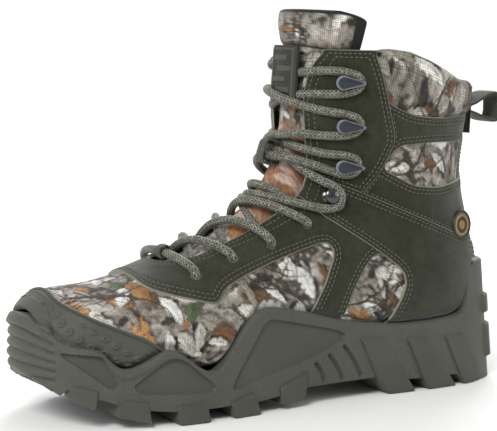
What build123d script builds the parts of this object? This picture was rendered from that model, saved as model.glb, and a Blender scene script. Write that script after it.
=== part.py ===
"""Insulated hunting boot, left foot, eight inches tall.

Frame: millimetres, +Z up, ground at z = 0, toe towards -X, heel towards +X, lateral side towards -Y.
The origin is on the ground under the middle of the heel seat.
"""

import os
from math import cos, hypot, pi, sin, tan, radians

from build123d import *

os.makedirs("parts", exist_ok=True)

# Layers of the upper, measured inwards from its outer surface
SKIN = 1.8
STIFFENER_IN, STIFFENER_OUT = 3.2, 2.0
INSULATION_OUT, INSULATION_IN = 2.0, 5.2
LINING_OUT, LINING_IN = 5.4, 6.4
TONGUE_OUT, TONGUE_IN = 7.6, 12.2
LAYER_GAP = 0.2

# Bottom trays, measured upwards from the bottom of the upper
BOARD_OUT, BOARD_IN = 0.3, 2.8
FELT_OUT, FELT_IN = 3.0, 6.4
FOOTBED_OUT, FOOTBED_IN = 7.3, 11.4

# Sole
SOLE_LEAN, SOLE_LEAN_LENGTH = 0.90, 0.965
MIDSOLE_SIDE_SCALE, MIDSOLE_LENGTH_SCALE = 0.68, 0.88
LUG_DEPTH = 7.0
CENTRE_GROOVE = 9.0
GUARD_THICKNESS = 2.3

# Throat, lace and its hardware
THROAT_HALF = 19.0
CHANNEL_HALF = 37.0
TONGUE_HALF = 36.0
LACE_DIAMETER = 5.0
EYELET_RADIUS = 2.9
AGLET_LENGTH = 16.0
HOOK_NECK_RADIUS = 1.9
HOOK_CAP_LIFT, HOOK_CAP_THICKNESS = 6.4, 1.6

# Tongue top, its clearance line and hinge
TONGUE_SEAM_Z = 204.0
TONGUE_TOP_LOW, TONGUE_TOP_HIGH = 209.5, 228.0

# Pull loop
LOOP_WIDTH = 20.0
LOOP_ROOT = (46.6, 167.0)

# Stations along the foot and up the shaft: the top or front point (x, z), the bottom or back point
# (x, z), lateral and medial half widths, where the section is widest as a share from the bottom, and
# how square the lower and the upper half of the section are.
STATIONS = [
    ((-247, 62), (-248, 35), 26, 25, 0.42, 2.6, 2.0),
    ((-237, 69.5), (-239, 31), 36, 35, 0.38, 2.9, 2.1),
    ((-216, 73.5), (-218, 27), 45, 43, 0.34, 3.1, 2.1),
    ((-163, 86.5), (-163, 22), 52, 48, 0.30, 3.2, 2.0),
    ((-120, 109.5), (-92, 25), 45, 43, 0.27, 3.0, 1.85),
    ((-98, 135), (-8, 31), 39, 38, 0.30, 2.7, 1.8),
    ((-93, 147), (33, 37), 38, 38, 0.34, 2.5, 1.85),
    ((-90, 158), (46, 60), 38, 38, 0.40, 2.3, 1.9),
    ((-86, 181), (36, 120), 41, 41, 0.47, 2.1, 2.0),
    ((-82, 208), (41, 176), 46, 46, 0.49, 2.1, 2.0),
    ((-80, 222), (44, 204), 48, 48, 0.50, 2.1, 2.0),
]
SECTION_POINTS = 16
TOE_STATIONS = 5

# Side-view outlines, (x, z)
COLLAR_TOP = [(-120, 198), (-84, 198), (-75, 205), (-41, 204.5), (-23, 202), (-9, 197), (5, 191),
              (16, 185), (28, 182), (70, 182)]
FEATHER_LINE = [(-270, 54), (-247, 48), (-237, 44), (-216, 39), (-190, 35), (-163, 34), (-130, 35),
                (-92, 37), (-50, 40), (-8, 44), (33, 51), (70, 60)]
THROAT = [(-168, 60), (-147, 70), (-125, 79), (-105, 90), (-88, 106), (-77, 122), (-70, 140),
          (-66, 160), (-64, 200), (-64, 240), (-125, 240), (-125, 140), (-190, 110), (-176, 84)]
SOLE_RIM = [(-266, 61), (-251, 60), (-245, 50), (-225, 45), (-208, 31), (-184, 41), (-175, 38),
            (-154, 26), (-134, 48), (-120, 59), (-106, 57), (-86, 52), (-65, 47), (-40, 41), (10, 41),
            (24, 43), (29, 58), (31, 73), (70, 73)]
TREAD = [(70, 28), (59, 24), (52, 0), (-36, 0), (-40, 11), (-88, 11), (-93, 5), (-112, 3),
         (-126, 0.6), (-145, 0), (-179, 0), (-195, 2.4), (-214, 7), (-239, 17.5), (-254, 30), (-266, 44)]
SOLE_PLAN = [(58, 0), (53, -21), (32, -35), (0, -41), (-45, -42), (-90, -47), (-130, -54), (-165, -58),
             (-195, -56), (-222, -49), (-243, -34), (-255, -13), (-255, 9), (-245, 29), (-226, 43),
             (-195, 52), (-160, 53), (-120, 47), (-85, 42), (-45, 40), (0, 40), (32, 35), (53, 21)]
GUARD_BORDER = [(-266, 95), (-233, 95), (-233, 71), (-221, 59), (-204, 52), (-194, 48), (-184, 43),
                (-176, 36), (-176, 10), (-266, 10)]
EYESTAY = [(-188, 110), (-186, 79), (-185, 73), (-174, 69), (-152, 64), (-144, 71), (-132, 76), (-111, 83),
           (-90, 89), (-75, 93), (-69, 90), (-68, 85), (-77, 69), (-88, 54), (-92, 20), (-62, 20),
           (-66, 49), (-58, 64), (-49, 77), (-39, 84.5), (-51, 94), (-73, 108), (-90, 121), (-120, 150)]
WINDOW_LOW = [(-62, 20), (-66, 49), (-58, 64), (-49, 77), (-39, 84.5), (-24, 75), (-20, 67), (-22, 60),
              (-33, 42), (-36, 20)]
LINE_ONE = [(-100, 140), (-80, 132), (-66, 128), (-48, 121), (-25, 111), (6, 98), (29, 88), (44, 84),
            (70, 78)]
HEEL_FRONT = [(-39, 84.5), (-51, 94), (-73, 108), (-110, 133)]
WINDOW_HIGH = [(-36, 135), (-27, 148), (-6, 149), (26, 149), (29, 127), (2, 122), (-16, 124)]
BAND_TOP = [(-42, 190), (-37, 178), (-35, 173), (-19, 166), (-1, 164), (34, 165), (70, 165)]
FLAP = [(-100, 134), (-80, 132), (-66, 128), (-48, 121), (-37, 134), (-30, 152), (-33, 163), (-36, 174),
        (-41, 192), (-45, 206), (-60, 215), (-100, 215)]
TOE_STIFF = [(-270, 100), (-212, 100), (-202, 30), (-270, 30)]
HEEL_STIFF = [(-22, 20), (-14, 70), (12, 92), (70, 92), (70, 20)]
FOAM_BAND = [(-44, 230), (-44, 160), (-30, 163), (70, 163), (70, 230)]

# Eyelets: centre on the lateral side at the eyestay's outer surface and the outward direction
EYELETS = [((-157, 32.5, 78), (-0.15, 0.64, 0.75)), ((-132.5, 30, 86), (-0.17, 0.73, 0.66)),
           ((-107.5, 30, 93), (-0.08, 0.86, 0.50)), ((-83, 28.4, 103.5), (-0.13, 0.93, 0.34))]

# Lace hooks: the neck's foot on the flap and the outward direction
HOOKS = [((-56, 30.4, 137), (-0.37, 0.92, -0.12)), ((-57, 33.5, 161), (-0.41, 0.90, -0.12)),
         ((-58, 35.7, 186), (-0.49, 0.87, -0.05))]
ANKLE_HOOK = ((-63, 29.3, 115), (-0.2, 0.96, 0.19))

# The lace from one tucked end to the other: down the hooks and the eyelets on one strand, across the
# lowest pair, and back up on the other. Lateral is -Y.
LACE_ROUTE = [
    (-71, 17.5, 148.5), (-71.4, 19.5, 160), (-72.2, 20, 172), (-74, 18.5, 182), (-77, 14, 188.5),
    (-79.8, 5, 190.5), (-80, -7, 191), (-79, -20, 192), (-71, -31.5, 193), (-61.5, -38.3, 192),
    (-54, -42, 189), (-54, -41.5, 182.5), (-61, -37.5, 179.5), (-70, -31, 179), (-79.5, -20.5, 179.3),
    (-81.9, -7, 177), (-81.9, 7, 175), (-80, 20, 171.5), (-70, 30.5, 168.5), (-60.5, 36.2, 167.3),
    (-53, 39.4, 164.3), (-52.8, 38.8, 157.8), (-60, 35, 154.7), (-70, 29.3, 154.5), (-80, 20, 154.6),
    (-85, 7, 152), (-85.2, -6, 150), (-80.5, -20, 147), (-70, -28, 144), (-59.5, -33.2, 143.2),
    (-52, -36, 140.3), (-52, -35.4, 133.7), (-58.5, -32.5, 131), (-67, -30, 134), (-77, -25, 138),
    (-87.5, -17, 141.7), (-95, -6, 143), (-96.7, 7, 141.5), (-91, 18, 136), (-81, 25.8, 130.3),
    (-72, 30.5, 126),
    (-64.3, 34, 124), (-61.5, 35, 117.5), (-67, 33.6, 112.5), (-78, 29.8, 113.5), (-92, 20, 120),
    (-101.5, 8, 126), (-99.5, -6, 125.5), (-89.5, -16.5, 118), (-84.5, -21.5, 109.5), (-81.8, -24.2, 101.5),
    (-83, -32.8, 104.7), (-93, -28, 110.5), (-104, -17.5, 116), (-113.3, -4, 118), (-113.9, 8, 111.5),
    (-108.5, 18.5, 100), (-106.9, 26.1, 90.8), (-107.7, 34.2, 95.3), (-115.5, 24, 104), (-122, 12, 106.5),
    (-126.3, 0, 99), (-128.6, -10.5, 94.5), (-129.8, -19.5, 89.5), (-131.7, -26.7, 82.6),
    (-133.2, -33.6, 89), (-139.3, -25.5, 93.5), (-145, -13, 96.5), (-149, 0, 95), (-151, 11.5, 88.5),
    (-152.8, 20.5, 80.8), (-156.3, 29.4, 74.2), (-158, 35.8, 81.6), (-162.5, 24, 87.5), (-164.6, 8.5, 90),
    (-164.4, -8, 89.6), (-162, -24, 87.2), (-157.8, -35.8, 81.6), (-156.3, -29.4, 74.2), (-153, -20.5, 81),
    (-149.5, -10.5, 86.5), (-145.5, 1, 89), (-141.8, 12, 95), (-138.5, 24, 94.5), (-133.2, 33.6, 89),
    (-131.7, 26.7, 82.6), (-130.8, 20, 89.6), (-131.8, 11.5, 97), (-130.3, 0, 104.5), (-124, -12.5, 107.5),
    (-115.8, -25, 104), (-107.7, -34.2, 95.3), (-106.9, -26.1, 90.8), (-108.3, -18.3, 99.8),
    (-110.5, -9, 107), (-109, 2, 112), (-104.5, 13, 118), (-95, 25.5, 113), (-83, 32.8, 104.7),
    (-81.8, 24.2, 101.5), (-86, 22.3, 109), (-97, 16, 115), (-106, 5, 120.3), (-104.5, -8, 120),
    (-96, -19.5, 118), (-84, -28.5, 115), (-73, -32, 112), (-65, -34.4, 113), (-61.8, -35.2, 119.5),
    (-66.5, -33, 125.5), (-73.5, -29.3, 128.7), (-79.5, -22.5, 133.5), (-85, -12, 140.5), (-89.5, 0, 147),
    (-89.5, 11, 145.3), (-82.5, 21.3, 139), (-71.5, 27.7, 132.5), (-60, 31.8, 130.5), (-52, 35.2, 133.5),
    (-52, 36.1, 140.1), (-59.5, 33.3, 143.4), (-70, 28.2, 143.3), (-82, 20, 147), (-90, 7.5, 152.8),
    (-90.5, -6.5, 155), (-83, -20, 156.3), (-71, -28.8, 154.8), (-60, -35, 154.6), (-52.6, -38.8, 157.8),
    (-52.9, -39.4, 164.3), (-60.5, -36.2, 167.4), (-70.5, -30.2, 169), (-80.5, -20, 172), (-88.7, -7, 176.8),
    (-89.3, 6, 179.5), (-83.5, 20, 181.3), (-71, 30.5, 179.7), (-61, 37.5, 179.6), (-54, 41.5, 182.5),
    (-54, 42, 189), (-61.5, 38.4, 192), (-71, 31.6, 193.8), (-79, 22, 194.8), (-81.8, 15, 197),
    (-78.3, 11.5, 201), (-73, 16.5, 202.3), (-69.3, 23, 198), (-65, 28, 190), (-63.2, 28.8, 179),
    (-62.8, 27, 167),
    (-64, 23.8, 156)]


def save(part, name):
    """Label a finished piece and write its STEP file."""
    part.label = name
    export_step(part, f"parts/{name}.step")


def station_section(index, inset):
    """Plane and outline points of one station, its outline moved inwards by inset."""
    (tx, tz), (bx, bz), lateral, medial, share, n_low, n_high = STATIONS[index]
    length = hypot(tx - bx, tz - bz)
    ex, ez = (tx - bx) / length, (tz - bz) / length
    toe_shift = inset if index == 0 else 0
    centre = (bx + ex * share * length + toe_shift, 0, bz + ez * share * length)
    points = []
    for k in range(SECTION_POINTS):
        angle = 2 * pi * k / SECTION_POINTS
        c, s = cos(angle), sin(angle)
        power = n_high if c > 0 else n_low
        reach = (abs(c) ** power + abs(s) ** power) ** (-1 / power)
        height = (1 - share) * length if c > 0 else share * length
        width = lateral if s > 0 else medial
        points.append((reach * c * (height - inset), -reach * s * (width - inset)))
    return Plane(origin=centre, x_dir=(ex, 0, ez), z_dir=Vector(ex, 0, ez).cross(Vector(0, 1, 0))), points


def upper_solid(inset, stations=range(len(STATIONS))):
    """The volume inside the upper's outer surface, moved inwards by inset, over the given stations."""
    with BuildPart() as solid:
        for index in stations:
            plane, points = station_section(index, inset)
            with BuildSketch(plane):
                with BuildLine():
                    Spline(*points, periodic=True)
                make_face()
        loft()
    return solid.part


def prism(outline, low, high):
    """A side-view outline extruded across the boot, from y = low to y = high."""
    with BuildPart() as block:
        with BuildSketch(Plane.XZ.offset(-high)):
            with BuildLine():
                Polyline(*outline, close=True)
            make_face()
        extrude(amount=high - low)
    return block.part


WIDE = (-90, 90)
LATERAL, MEDIAL = (-90, 0), (0, 90)
SURFACES = {}


def solid_at(inset):
    """The upper's volume at an inset, lofted once."""
    if inset not in SURFACES:
        SURFACES[inset] = upper_solid(inset)
    return SURFACES[inset]


def layer(outer, inner):
    """The layer of the upper between two insets."""
    with BuildPart() as shell:
        add(solid_at(outer))
        add(solid_at(inner), mode=Mode.SUBTRACT)
    return shell.part


# Regions that trim the layers
ABOVE_FEATHER = prism(FEATHER_LINE + [(70, 260), (-270, 260)], *WIDE)
BELOW_FEATHER = prism([(x, z - LAYER_GAP) for x, z in FEATHER_LINE] + [(70, 0), (-270, 0)], *WIDE)
BELOW_COLLAR = prism(COLLAR_TOP + [(70, 0), (-270, 0), (-270, 198)], *WIDE)
THROAT_CUT = prism(THROAT, -THROAT_HALF, THROAT_HALF)
CHANNEL = [(-172, 50), (-100, 62), (-66, 96), (-50, 130), (-44, 170), (-42, 240), (-125, 240), (-190, 110)]
CHANNEL_CUT = prism(CHANNEL, -CHANNEL_HALF, CHANNEL_HALF)

# ---------------------------------------------------------------- outer skin, cut into its panels
with BuildPart() as skin:
    add(layer(0, SKIN))
    add(ABOVE_FEATHER, mode=Mode.INTERSECT)
    add(BELOW_COLLAR, mode=Mode.INTERSECT)
    add(THROAT_CUT, mode=Mode.SUBTRACT)


def panel(base, keep=None, remove=()):
    """A panel of the base layer, inside one outline if one is given, and outside others."""
    with BuildPart() as cut:
        add(base)
        if keep:
            add(keep, mode=Mode.INTERSECT)
        for region in remove:
            add(region, mode=Mode.SUBTRACT)
    return cut.part


above_line_one = prism(LINE_ONE + [(70, 260), (-130, 260)], *WIDE)
above_band = prism(BAND_TOP + [(70, 260), (-130, 260), (-60, 190)], *WIDE)
behind_heel_front = prism(HEEL_FRONT + [(-110, 145), (70, 145), (70, 0), (-36, 0), (-36, 20), (-33, 42),
                                        (-22, 60), (-20, 67), (-24, 75)], *WIDE)
flap_region = prism(FLAP, *WIDE)
low_window = prism(WINDOW_LOW, *WIDE)
high_window = prism(WINDOW_HIGH, *WIDE)

uppers = panel(skin.part, above_line_one)
lowers = panel(skin.part, prism(LINE_ONE + [(70, 0), (-270, 0), (-270, 140)], *WIDE))
save(panel(uppers, above_band, [flap_region]), "collar_camo")
below_band = panel(uppers, prism(BAND_TOP + [(70, 60), (-130, 60), (-130, 190)], *WIDE), [flap_region])
save(panel(below_band, remove=[high_window]), "ankle_band")
for side, (low, high) in (("lateral", LATERAL), ("medial", MEDIAL)):
    save(panel(below_band, prism(WINDOW_HIGH, low, high)), f"ankle_window_{side}")
    save(panel(uppers, prism(FLAP, low, high)), f"hook_flap_{side}")
    save(panel(lowers, prism(WINDOW_LOW, low, high)), f"side_window_{side}")

with BuildPart() as heel_overlay:
    add(lowers)
    add(behind_heel_front, mode=Mode.INTERSECT)
    add(low_window, mode=Mode.SUBTRACT)
save(heel_overlay.part, "heel_overlay")
front_lowers = panel(lowers, lowers, [behind_heel_front, low_window])
eyestay_region = prism(EYESTAY, *WIDE)
vamp = panel(front_lowers, front_lowers, [eyestay_region])


def pin(centre, direction, radius, low, high):
    """A round pin along a direction, from low to high past its centre."""
    axis = Plane(origin=centre, z_dir=direction)
    with BuildPart() as rod:
        with BuildSketch(axis.offset(low)):
            Circle(radius)
        extrude(amount=high - low)
    return rod.part


def both_sides(point):
    """A medial-side point or direction and its mirror image on the lateral side."""
    x, y, z = point
    return ((x, y, z), (x, -y, z))


with BuildPart() as eyestay:
    add(front_lowers)
    add(eyestay_region, mode=Mode.INTERSECT)
    for centre, direction in EYELETS:
        for spot, way in zip(both_sides(centre), both_sides(direction)):
            add(pin(spot, way, EYELET_RADIUS, -6, 6), mode=Mode.SUBTRACT)
save(eyestay.part, "eyestay")
save(vamp, "vamp")

# ---------------------------------------------------------------- stiffeners, insulation and lining
heel_region = prism(HEEL_STIFF, *WIDE)
toe_region = prism(TOE_STIFF, *WIDE)
with BuildPart() as stiffener_layer:
    add(layer(STIFFENER_OUT, STIFFENER_IN))
    add(ABOVE_FEATHER, mode=Mode.INTERSECT)
save(panel(stiffener_layer.part, heel_region), "heel_counter")
save(panel(stiffener_layer.part, toe_region), "toe_puff")

with BuildPart() as insulation:
    add(layer(INSULATION_OUT, INSULATION_IN))
    add(ABOVE_FEATHER, mode=Mode.INTERSECT)
    add(BELOW_COLLAR, mode=Mode.INTERSECT)
    add(CHANNEL_CUT, mode=Mode.SUBTRACT)
    add(panel(layer(STIFFENER_OUT - LAYER_GAP, STIFFENER_IN + LAYER_GAP), heel_region), mode=Mode.SUBTRACT)
    add(panel(layer(STIFFENER_OUT - LAYER_GAP, STIFFENER_IN + LAYER_GAP), toe_region), mode=Mode.SUBTRACT)
foam_region = prism(FOAM_BAND, *WIDE)
save(panel(insulation.part, foam_region), "collar_foam")
front = prism([(-270, 0), (-150, 0), (-150, 130), (-270, 130)], *WIDE)
back = prism([(5, 0), (70, 0), (70, 240), (5, 240)], *WIDE)
save(panel(insulation.part, front, [foam_region]), "insulation_front")
save(panel(insulation.part, back, [foam_region]), "insulation_back")
for side, (low, high) in (("lateral", LATERAL), ("medial", MEDIAL)):
    middle = prism([(-150, 0), (5, 0), (5, 240), (-150, 240)], low, high)
    save(panel(insulation.part, middle, [foam_region]), f"insulation_{side}")

with BuildPart() as lining:
    add(layer(LINING_OUT, LINING_IN))
    add(ABOVE_FEATHER, mode=Mode.INTERSECT)
    add(BELOW_COLLAR, mode=Mode.INTERSECT)
    add(CHANNEL_CUT, mode=Mode.SUBTRACT)
save(lining.part, "lining")

# ---------------------------------------------------------------- bottom trays and the removable footbed
for name, outer, inner in (("insole_board", BOARD_OUT, BOARD_IN), ("thermal_felt", FELT_OUT, FELT_IN)):
    save(panel(layer(outer, inner), BELOW_FEATHER), name)
FOOTBED_TOP = [(-270, 47), (-236, 47), (-216, 43), (-163, 37.5), (-92, 40.5), (-50, 43.5), (-8, 46.5),
               (30, 52), (70, 58)]
with BuildPart() as footbed:
    add(layer(FOOTBED_OUT, FOOTBED_IN))
    add(prism(FOOTBED_TOP + [(70, 0), (-270, 0)], *WIDE), mode=Mode.INTERSECT)
    add(prism([(-232, 0), (32, 0), (32, 100), (-232, 100)], -60, 60), mode=Mode.INTERSECT)
save(footbed.part, "footbed")

# ---------------------------------------------------------------- tongue and its free top
TONGUE_SIDE = [(-166, 60), (-147, 66), (-125, 74), (-105, 84), (-84, 100), (-68, 122), (-58, 150),
               (-50, TONGUE_SEAM_Z), (-125, TONGUE_SEAM_Z), (-125, 140), (-190, 110), (-176, 80)]
with BuildPart() as tongue:
    add(layer(TONGUE_OUT, TONGUE_IN))
    add(prism(TONGUE_SIDE, -TONGUE_HALF, TONGUE_HALF), mode=Mode.INTERSECT)
save(tongue.part, "tongue")

TONGUE_TOP_FRONT = [(-46, -41), (-63, -34.5), (-75.5, -21), (-80.5, 0), (-75.5, 21), (-63, 34.5), (-46, 41)]
TONGUE_TOP_BACK = [(-42.5, 36.5), (-59, 30.3), (-70, 18), (-75, 0), (-70, -18), (-59, -30.3), (-42.5, -36.5)]
with BuildPart() as tongue_top:
    with BuildSketch(Plane.XY.offset(TONGUE_TOP_LOW)):
        with BuildLine():
            Spline(*TONGUE_TOP_FRONT)
            Line(TONGUE_TOP_FRONT[-1], TONGUE_TOP_BACK[0])
            Spline(*TONGUE_TOP_BACK)
            Line(TONGUE_TOP_BACK[-1], TONGUE_TOP_FRONT[0])
        make_face()
    extrude(amount=TONGUE_TOP_HIGH - TONGUE_TOP_LOW)
save(tongue_top.part, "tongue_top")

LABEL_CENTRE, LABEL_WIDTH, LABEL_HEIGHT, LABEL_THICKNESS = (-84.9, -2, 190.8), 27.0, 33.0, 2.2
with BuildPart() as label:
    with BuildSketch(Plane(origin=LABEL_CENTRE, x_dir=(0, 1, 0), z_dir=(-1, 0, 0.06))):
        RectangleRounded(LABEL_WIDTH, LABEL_HEIGHT, 2)
    extrude(amount=LABEL_THICKNESS / 2, both=True)
    with Locations((-79.5, -2, 200.5)):
        Box(9, LABEL_WIDTH - 6, 3)
save(label.part, "tongue_label")

# ---------------------------------------------------------------- outsole, midsole, shank and toe guard
PLAN_CENTRE_X = -99.0


def sole_plan(side_scale, length_scale):
    """The sole's outline in plan, drawn in towards its middle."""
    return [(PLAN_CENTRE_X + (x - PLAN_CENTRE_X) * length_scale, y * side_scale) for x, y in SOLE_PLAN]


with BuildPart() as sole_block:
    for height, side_scale, length_scale in ((-1, 1, 1), (80, SOLE_LEAN, SOLE_LEAN_LENGTH)):
        with BuildSketch(Plane.XY.offset(height)):
            with BuildLine():
                Spline(*sole_plan(side_scale, length_scale), periodic=True)
            make_face()
    loft()

MIDSOLE_SIDE = [(-205, 17), (-180, 14), (-97, 14), (-90, 18), (-38, 18), (-33, 14), (36, 14), (36, 60),
                (-205, 60)]
with BuildPart() as midsole:
    with BuildSketch():
        with BuildLine():
            Spline(*sole_plan(MIDSOLE_SIDE_SCALE, MIDSOLE_LENGTH_SCALE), periodic=True)
        make_face()
    extrude(amount=80)
    add(prism(MIDSOLE_SIDE, *WIDE), mode=Mode.INTERSECT)
    add(prism([(x, z - 6) for x, z in FEATHER_LINE] + [(70, 0), (-270, 0)], *WIDE), mode=Mode.INTERSECT)
    add(solid_at(0), mode=Mode.SUBTRACT)
midsole_core = midsole.part

LUG_GAPS = [(-224, -214), (-195, -179), (-160, -145), (-126, -112), (-14, -4.5), (17, 23)]
with BuildPart() as outsole:
    add(sole_block.part)
    add(prism(SOLE_RIM + TREAD, *WIDE), mode=Mode.INTERSECT)
    add(solid_at(0), mode=Mode.SUBTRACT)
    add(midsole_core, mode=Mode.SUBTRACT)
    for toe_side, heel_side in LUG_GAPS:
        top = LUG_DEPTH + max(0, (-190 - toe_side) * 0.35)
        slot = [(toe_side, -5), (heel_side, -5), (heel_side - 2, top), (toe_side + 2, top)]
        add(prism(slot, *WIDE), mode=Mode.SUBTRACT)
    with BuildSketch(Plane.XY):
        with Locations((-150, 0)):
            Rectangle(120, CENTRE_GROOVE)
    extrude(amount=LUG_DEPTH - 1, mode=Mode.SUBTRACT)
save(outsole.part, "outsole")

SHANK_LENGTH, SHANK_WIDTH, SHANK_THICKNESS = 100.0, 20.0, 1.6
with BuildPart() as shank:
    with BuildSketch(Plane.XY.offset(20.5)):
        with Locations((-78, 0)):
            SlotOverall(SHANK_LENGTH, SHANK_WIDTH)
    extrude(amount=SHANK_THICKNESS)
save(shank.part, "shank")
with BuildPart() as midsole_cut:
    add(midsole_core)
    add(shank.part, mode=Mode.SUBTRACT)
save(midsole_cut.part, "midsole")

with BuildPart() as toe_guard:
    add(upper_solid(-GUARD_THICKNESS, range(TOE_STATIONS)))
    add(solid_at(0), mode=Mode.SUBTRACT)
    add(prism(GUARD_BORDER, *WIDE), mode=Mode.INTERSECT)
    add(outsole.part, mode=Mode.SUBTRACT)
    add(midsole_core, mode=Mode.SUBTRACT)
save(toe_guard.part, "toe_guard")

# ---------------------------------------------------------------- lace hooks, ankle hooks and rivets
HOOK_BASE_RADIUS, PLATE_LIFT, PLATE_TOP = 4.6, 0.35, 1.5
RIVET_RADIUS, RIVET_DEPTH = 1.4, 1.7


def hook_cap(centre, direction):
    """A teardrop cap over a hook's neck, its narrow end to the rear."""
    way = Vector(*direction).normalized()
    rearward = Vector(1, 0, 0) - way * way.dot(Vector(1, 0, 0))
    plane = Plane(origin=centre, x_dir=rearward, z_dir=way).offset(HOOK_CAP_LIFT)
    with BuildPart() as cap:
        with BuildSketch(plane):
            with BuildSketch(mode=Mode.PRIVATE) as outline:
                with Locations((-4, 0)):
                    Circle(4.3)
                with Locations((8, 0)):
                    Circle(1.1)
            add(make_hull(outline.sketch.edges(), mode=Mode.PRIVATE))
        extrude(amount=HOOK_CAP_THICKNESS)
    return cap.part


with BuildPart() as lace_hooks:
    for centre, direction in HOOKS:
        for spot, way in zip(both_sides(centre), both_sides(direction)):
            add(pin(spot, way, HOOK_BASE_RADIUS, PLATE_LIFT, PLATE_TOP))
            add(pin(spot, way, HOOK_NECK_RADIUS, PLATE_LIFT, HOOK_CAP_LIFT + 0.5))
            add(hook_cap(spot, way))
save(lace_hooks.part, "lace_hooks")

ANKLE_NECK = (-67.6, 27.6, 118.6)
with BuildPart() as ankle_hooks:
    for base, neck, way in zip(both_sides(ANKLE_HOOK[0]), both_sides(ANKLE_NECK), both_sides(ANKLE_HOOK[1])):
        add(pin(base, way, 5.0, PLATE_LIFT, PLATE_TOP + 0.8))
        add(pin(neck, way, 4.6, PLATE_LIFT, PLATE_TOP + 0.8))
        add(pin(neck, way, HOOK_NECK_RADIUS, PLATE_LIFT, 7))
        add(pin(neck, way, 4.4, 6.8, 8.6))
        add(pin(base, way, 2.9, PLATE_TOP, PLATE_TOP + 2.2))
save(ankle_hooks.part, "ankle_hooks")

with BuildPart() as rivets:
    for centre, direction in HOOKS + [ANKLE_HOOK]:
        for spot, way in zip(both_sides(centre), both_sides(direction)):
            add(pin(spot, way, RIVET_RADIUS, -RIVET_DEPTH, PLATE_LIFT))
save(rivets.part, "hook_rivets")

BADGE = ((22, 33.4, 98), (0.33, 0.94, 0.05))
with BuildPart() as badges:
    for spot, way in zip(both_sides(BADGE[0]), both_sides(BADGE[1])):
        add(pin(spot, way, 9, 0.5, 1.7))
save(badges.part, "ankle_badges")

# ---------------------------------------------------------------- lace, aglets and keepers


def corner_radii(route):
    """The largest arc at each corner that its two runs allow."""
    radii = []
    for before, corner, after in zip(route, route[1:], route[2:]):
        run_in, run_out = Vector(corner) - Vector(before), Vector(after) - Vector(corner)
        shorter = min(run_in.length, run_out.length)
        radii.append(0.45 * shorter / tan(radians(run_in.get_angle(run_out)) / 2))
    return radii


with BuildPart() as lace:
    with BuildLine() as lace_path:
        FilletPolyline(*LACE_ROUTE, radius=corner_radii(LACE_ROUTE))
    lace_wire = lace_path.wire()
    with BuildSketch(Plane(origin=lace_wire @ 0, z_dir=lace_wire % 0)):
        Circle(LACE_DIAMETER / 2)
    sweep()
section_volume = pi * LACE_DIAMETER ** 2 / 4 * lace_wire.length
print("lace length", round(lace_wire.length), "volume ratio", round(lace.part.volume / section_volume, 4))
print("lace radii", [round(r, 1) for r in corner_radii(LACE_ROUTE)])
save(lace.part, "lace")

with BuildPart() as aglets:
    for end, beside in ((LACE_ROUTE[0], LACE_ROUTE[1]), (LACE_ROUTE[-1], LACE_ROUTE[-2])):
        outward = (Vector(end) - Vector(beside)).normalized()
        add(pin(end, outward, LACE_DIAMETER / 2 - 0.5, 0, AGLET_LENGTH))
save(aglets.part, "aglets")

KEEPERS = [((-93, -2, 144.5), (-0.95, 0, 0.31), 12.6, 15.4, 9.0),
           ((-164.4, -5, 89.9), (-0.4, 0, 0.92), 7.4, 7.4, 8.0)]
WEBBING = 0.9
with BuildPart() as keepers:
    for centre, facing, depth, height, width in KEEPERS:
        with BuildSketch(Plane(origin=centre, x_dir=facing, z_dir=(0, 1, 0))):
            RectangleRounded(depth, height, 2)
            RectangleRounded(depth - 2 * WEBBING, height - 2 * WEBBING, 1.1, mode=Mode.SUBTRACT)
        extrude(amount=width / 2, both=True)
save(keepers.part, "lace_keepers")

# ---------------------------------------------------------------- pull loop and its tab
with BuildPart() as pull_loop:
    with BuildSketch(Plane.XZ):
        with BuildSketch(mode=Mode.PRIVATE) as loop_form:
            with Locations(LOOP_ROOT):
                Circle(2.4)
            for corner in ((64.5, 171.8), (64.5, 163.6)):
                with Locations(corner):
                    Circle(5.2)
        loop_outer = make_hull(loop_form.sketch.edges(), mode=Mode.PRIVATE)
        add(loop_outer)
        with BuildSketch(mode=Mode.PRIVATE) as loop_hole:
            with Locations((LOOP_ROOT[0] + 5.5, LOOP_ROOT[1] + 0.2)):
                Circle(1.4)
            for corner in ((64.3, 171.6), (64.3, 163.8)):
                with Locations(corner):
                    Circle(3.4)
        add(make_hull(loop_hole.sketch.edges(), mode=Mode.PRIVATE), mode=Mode.SUBTRACT)
    extrude(amount=LOOP_WIDTH / 2, both=True)
save(pull_loop.part, "pull_loop")

with BuildPart() as tab:
    with Locations((40, 0, 166)):
        Box(6.6, LOOP_WIDTH + 2, 30)
    add(solid_at(0), mode=Mode.SUBTRACT)
save(tab.part, "pull_loop_tab")
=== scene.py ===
"""Looks of an insulated hunting boot, left foot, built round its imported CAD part.

Frame as in the part: metres, +Z up, ground at z = 0, toe towards -X, lateral side towards -Y.
"""
import math

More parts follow.
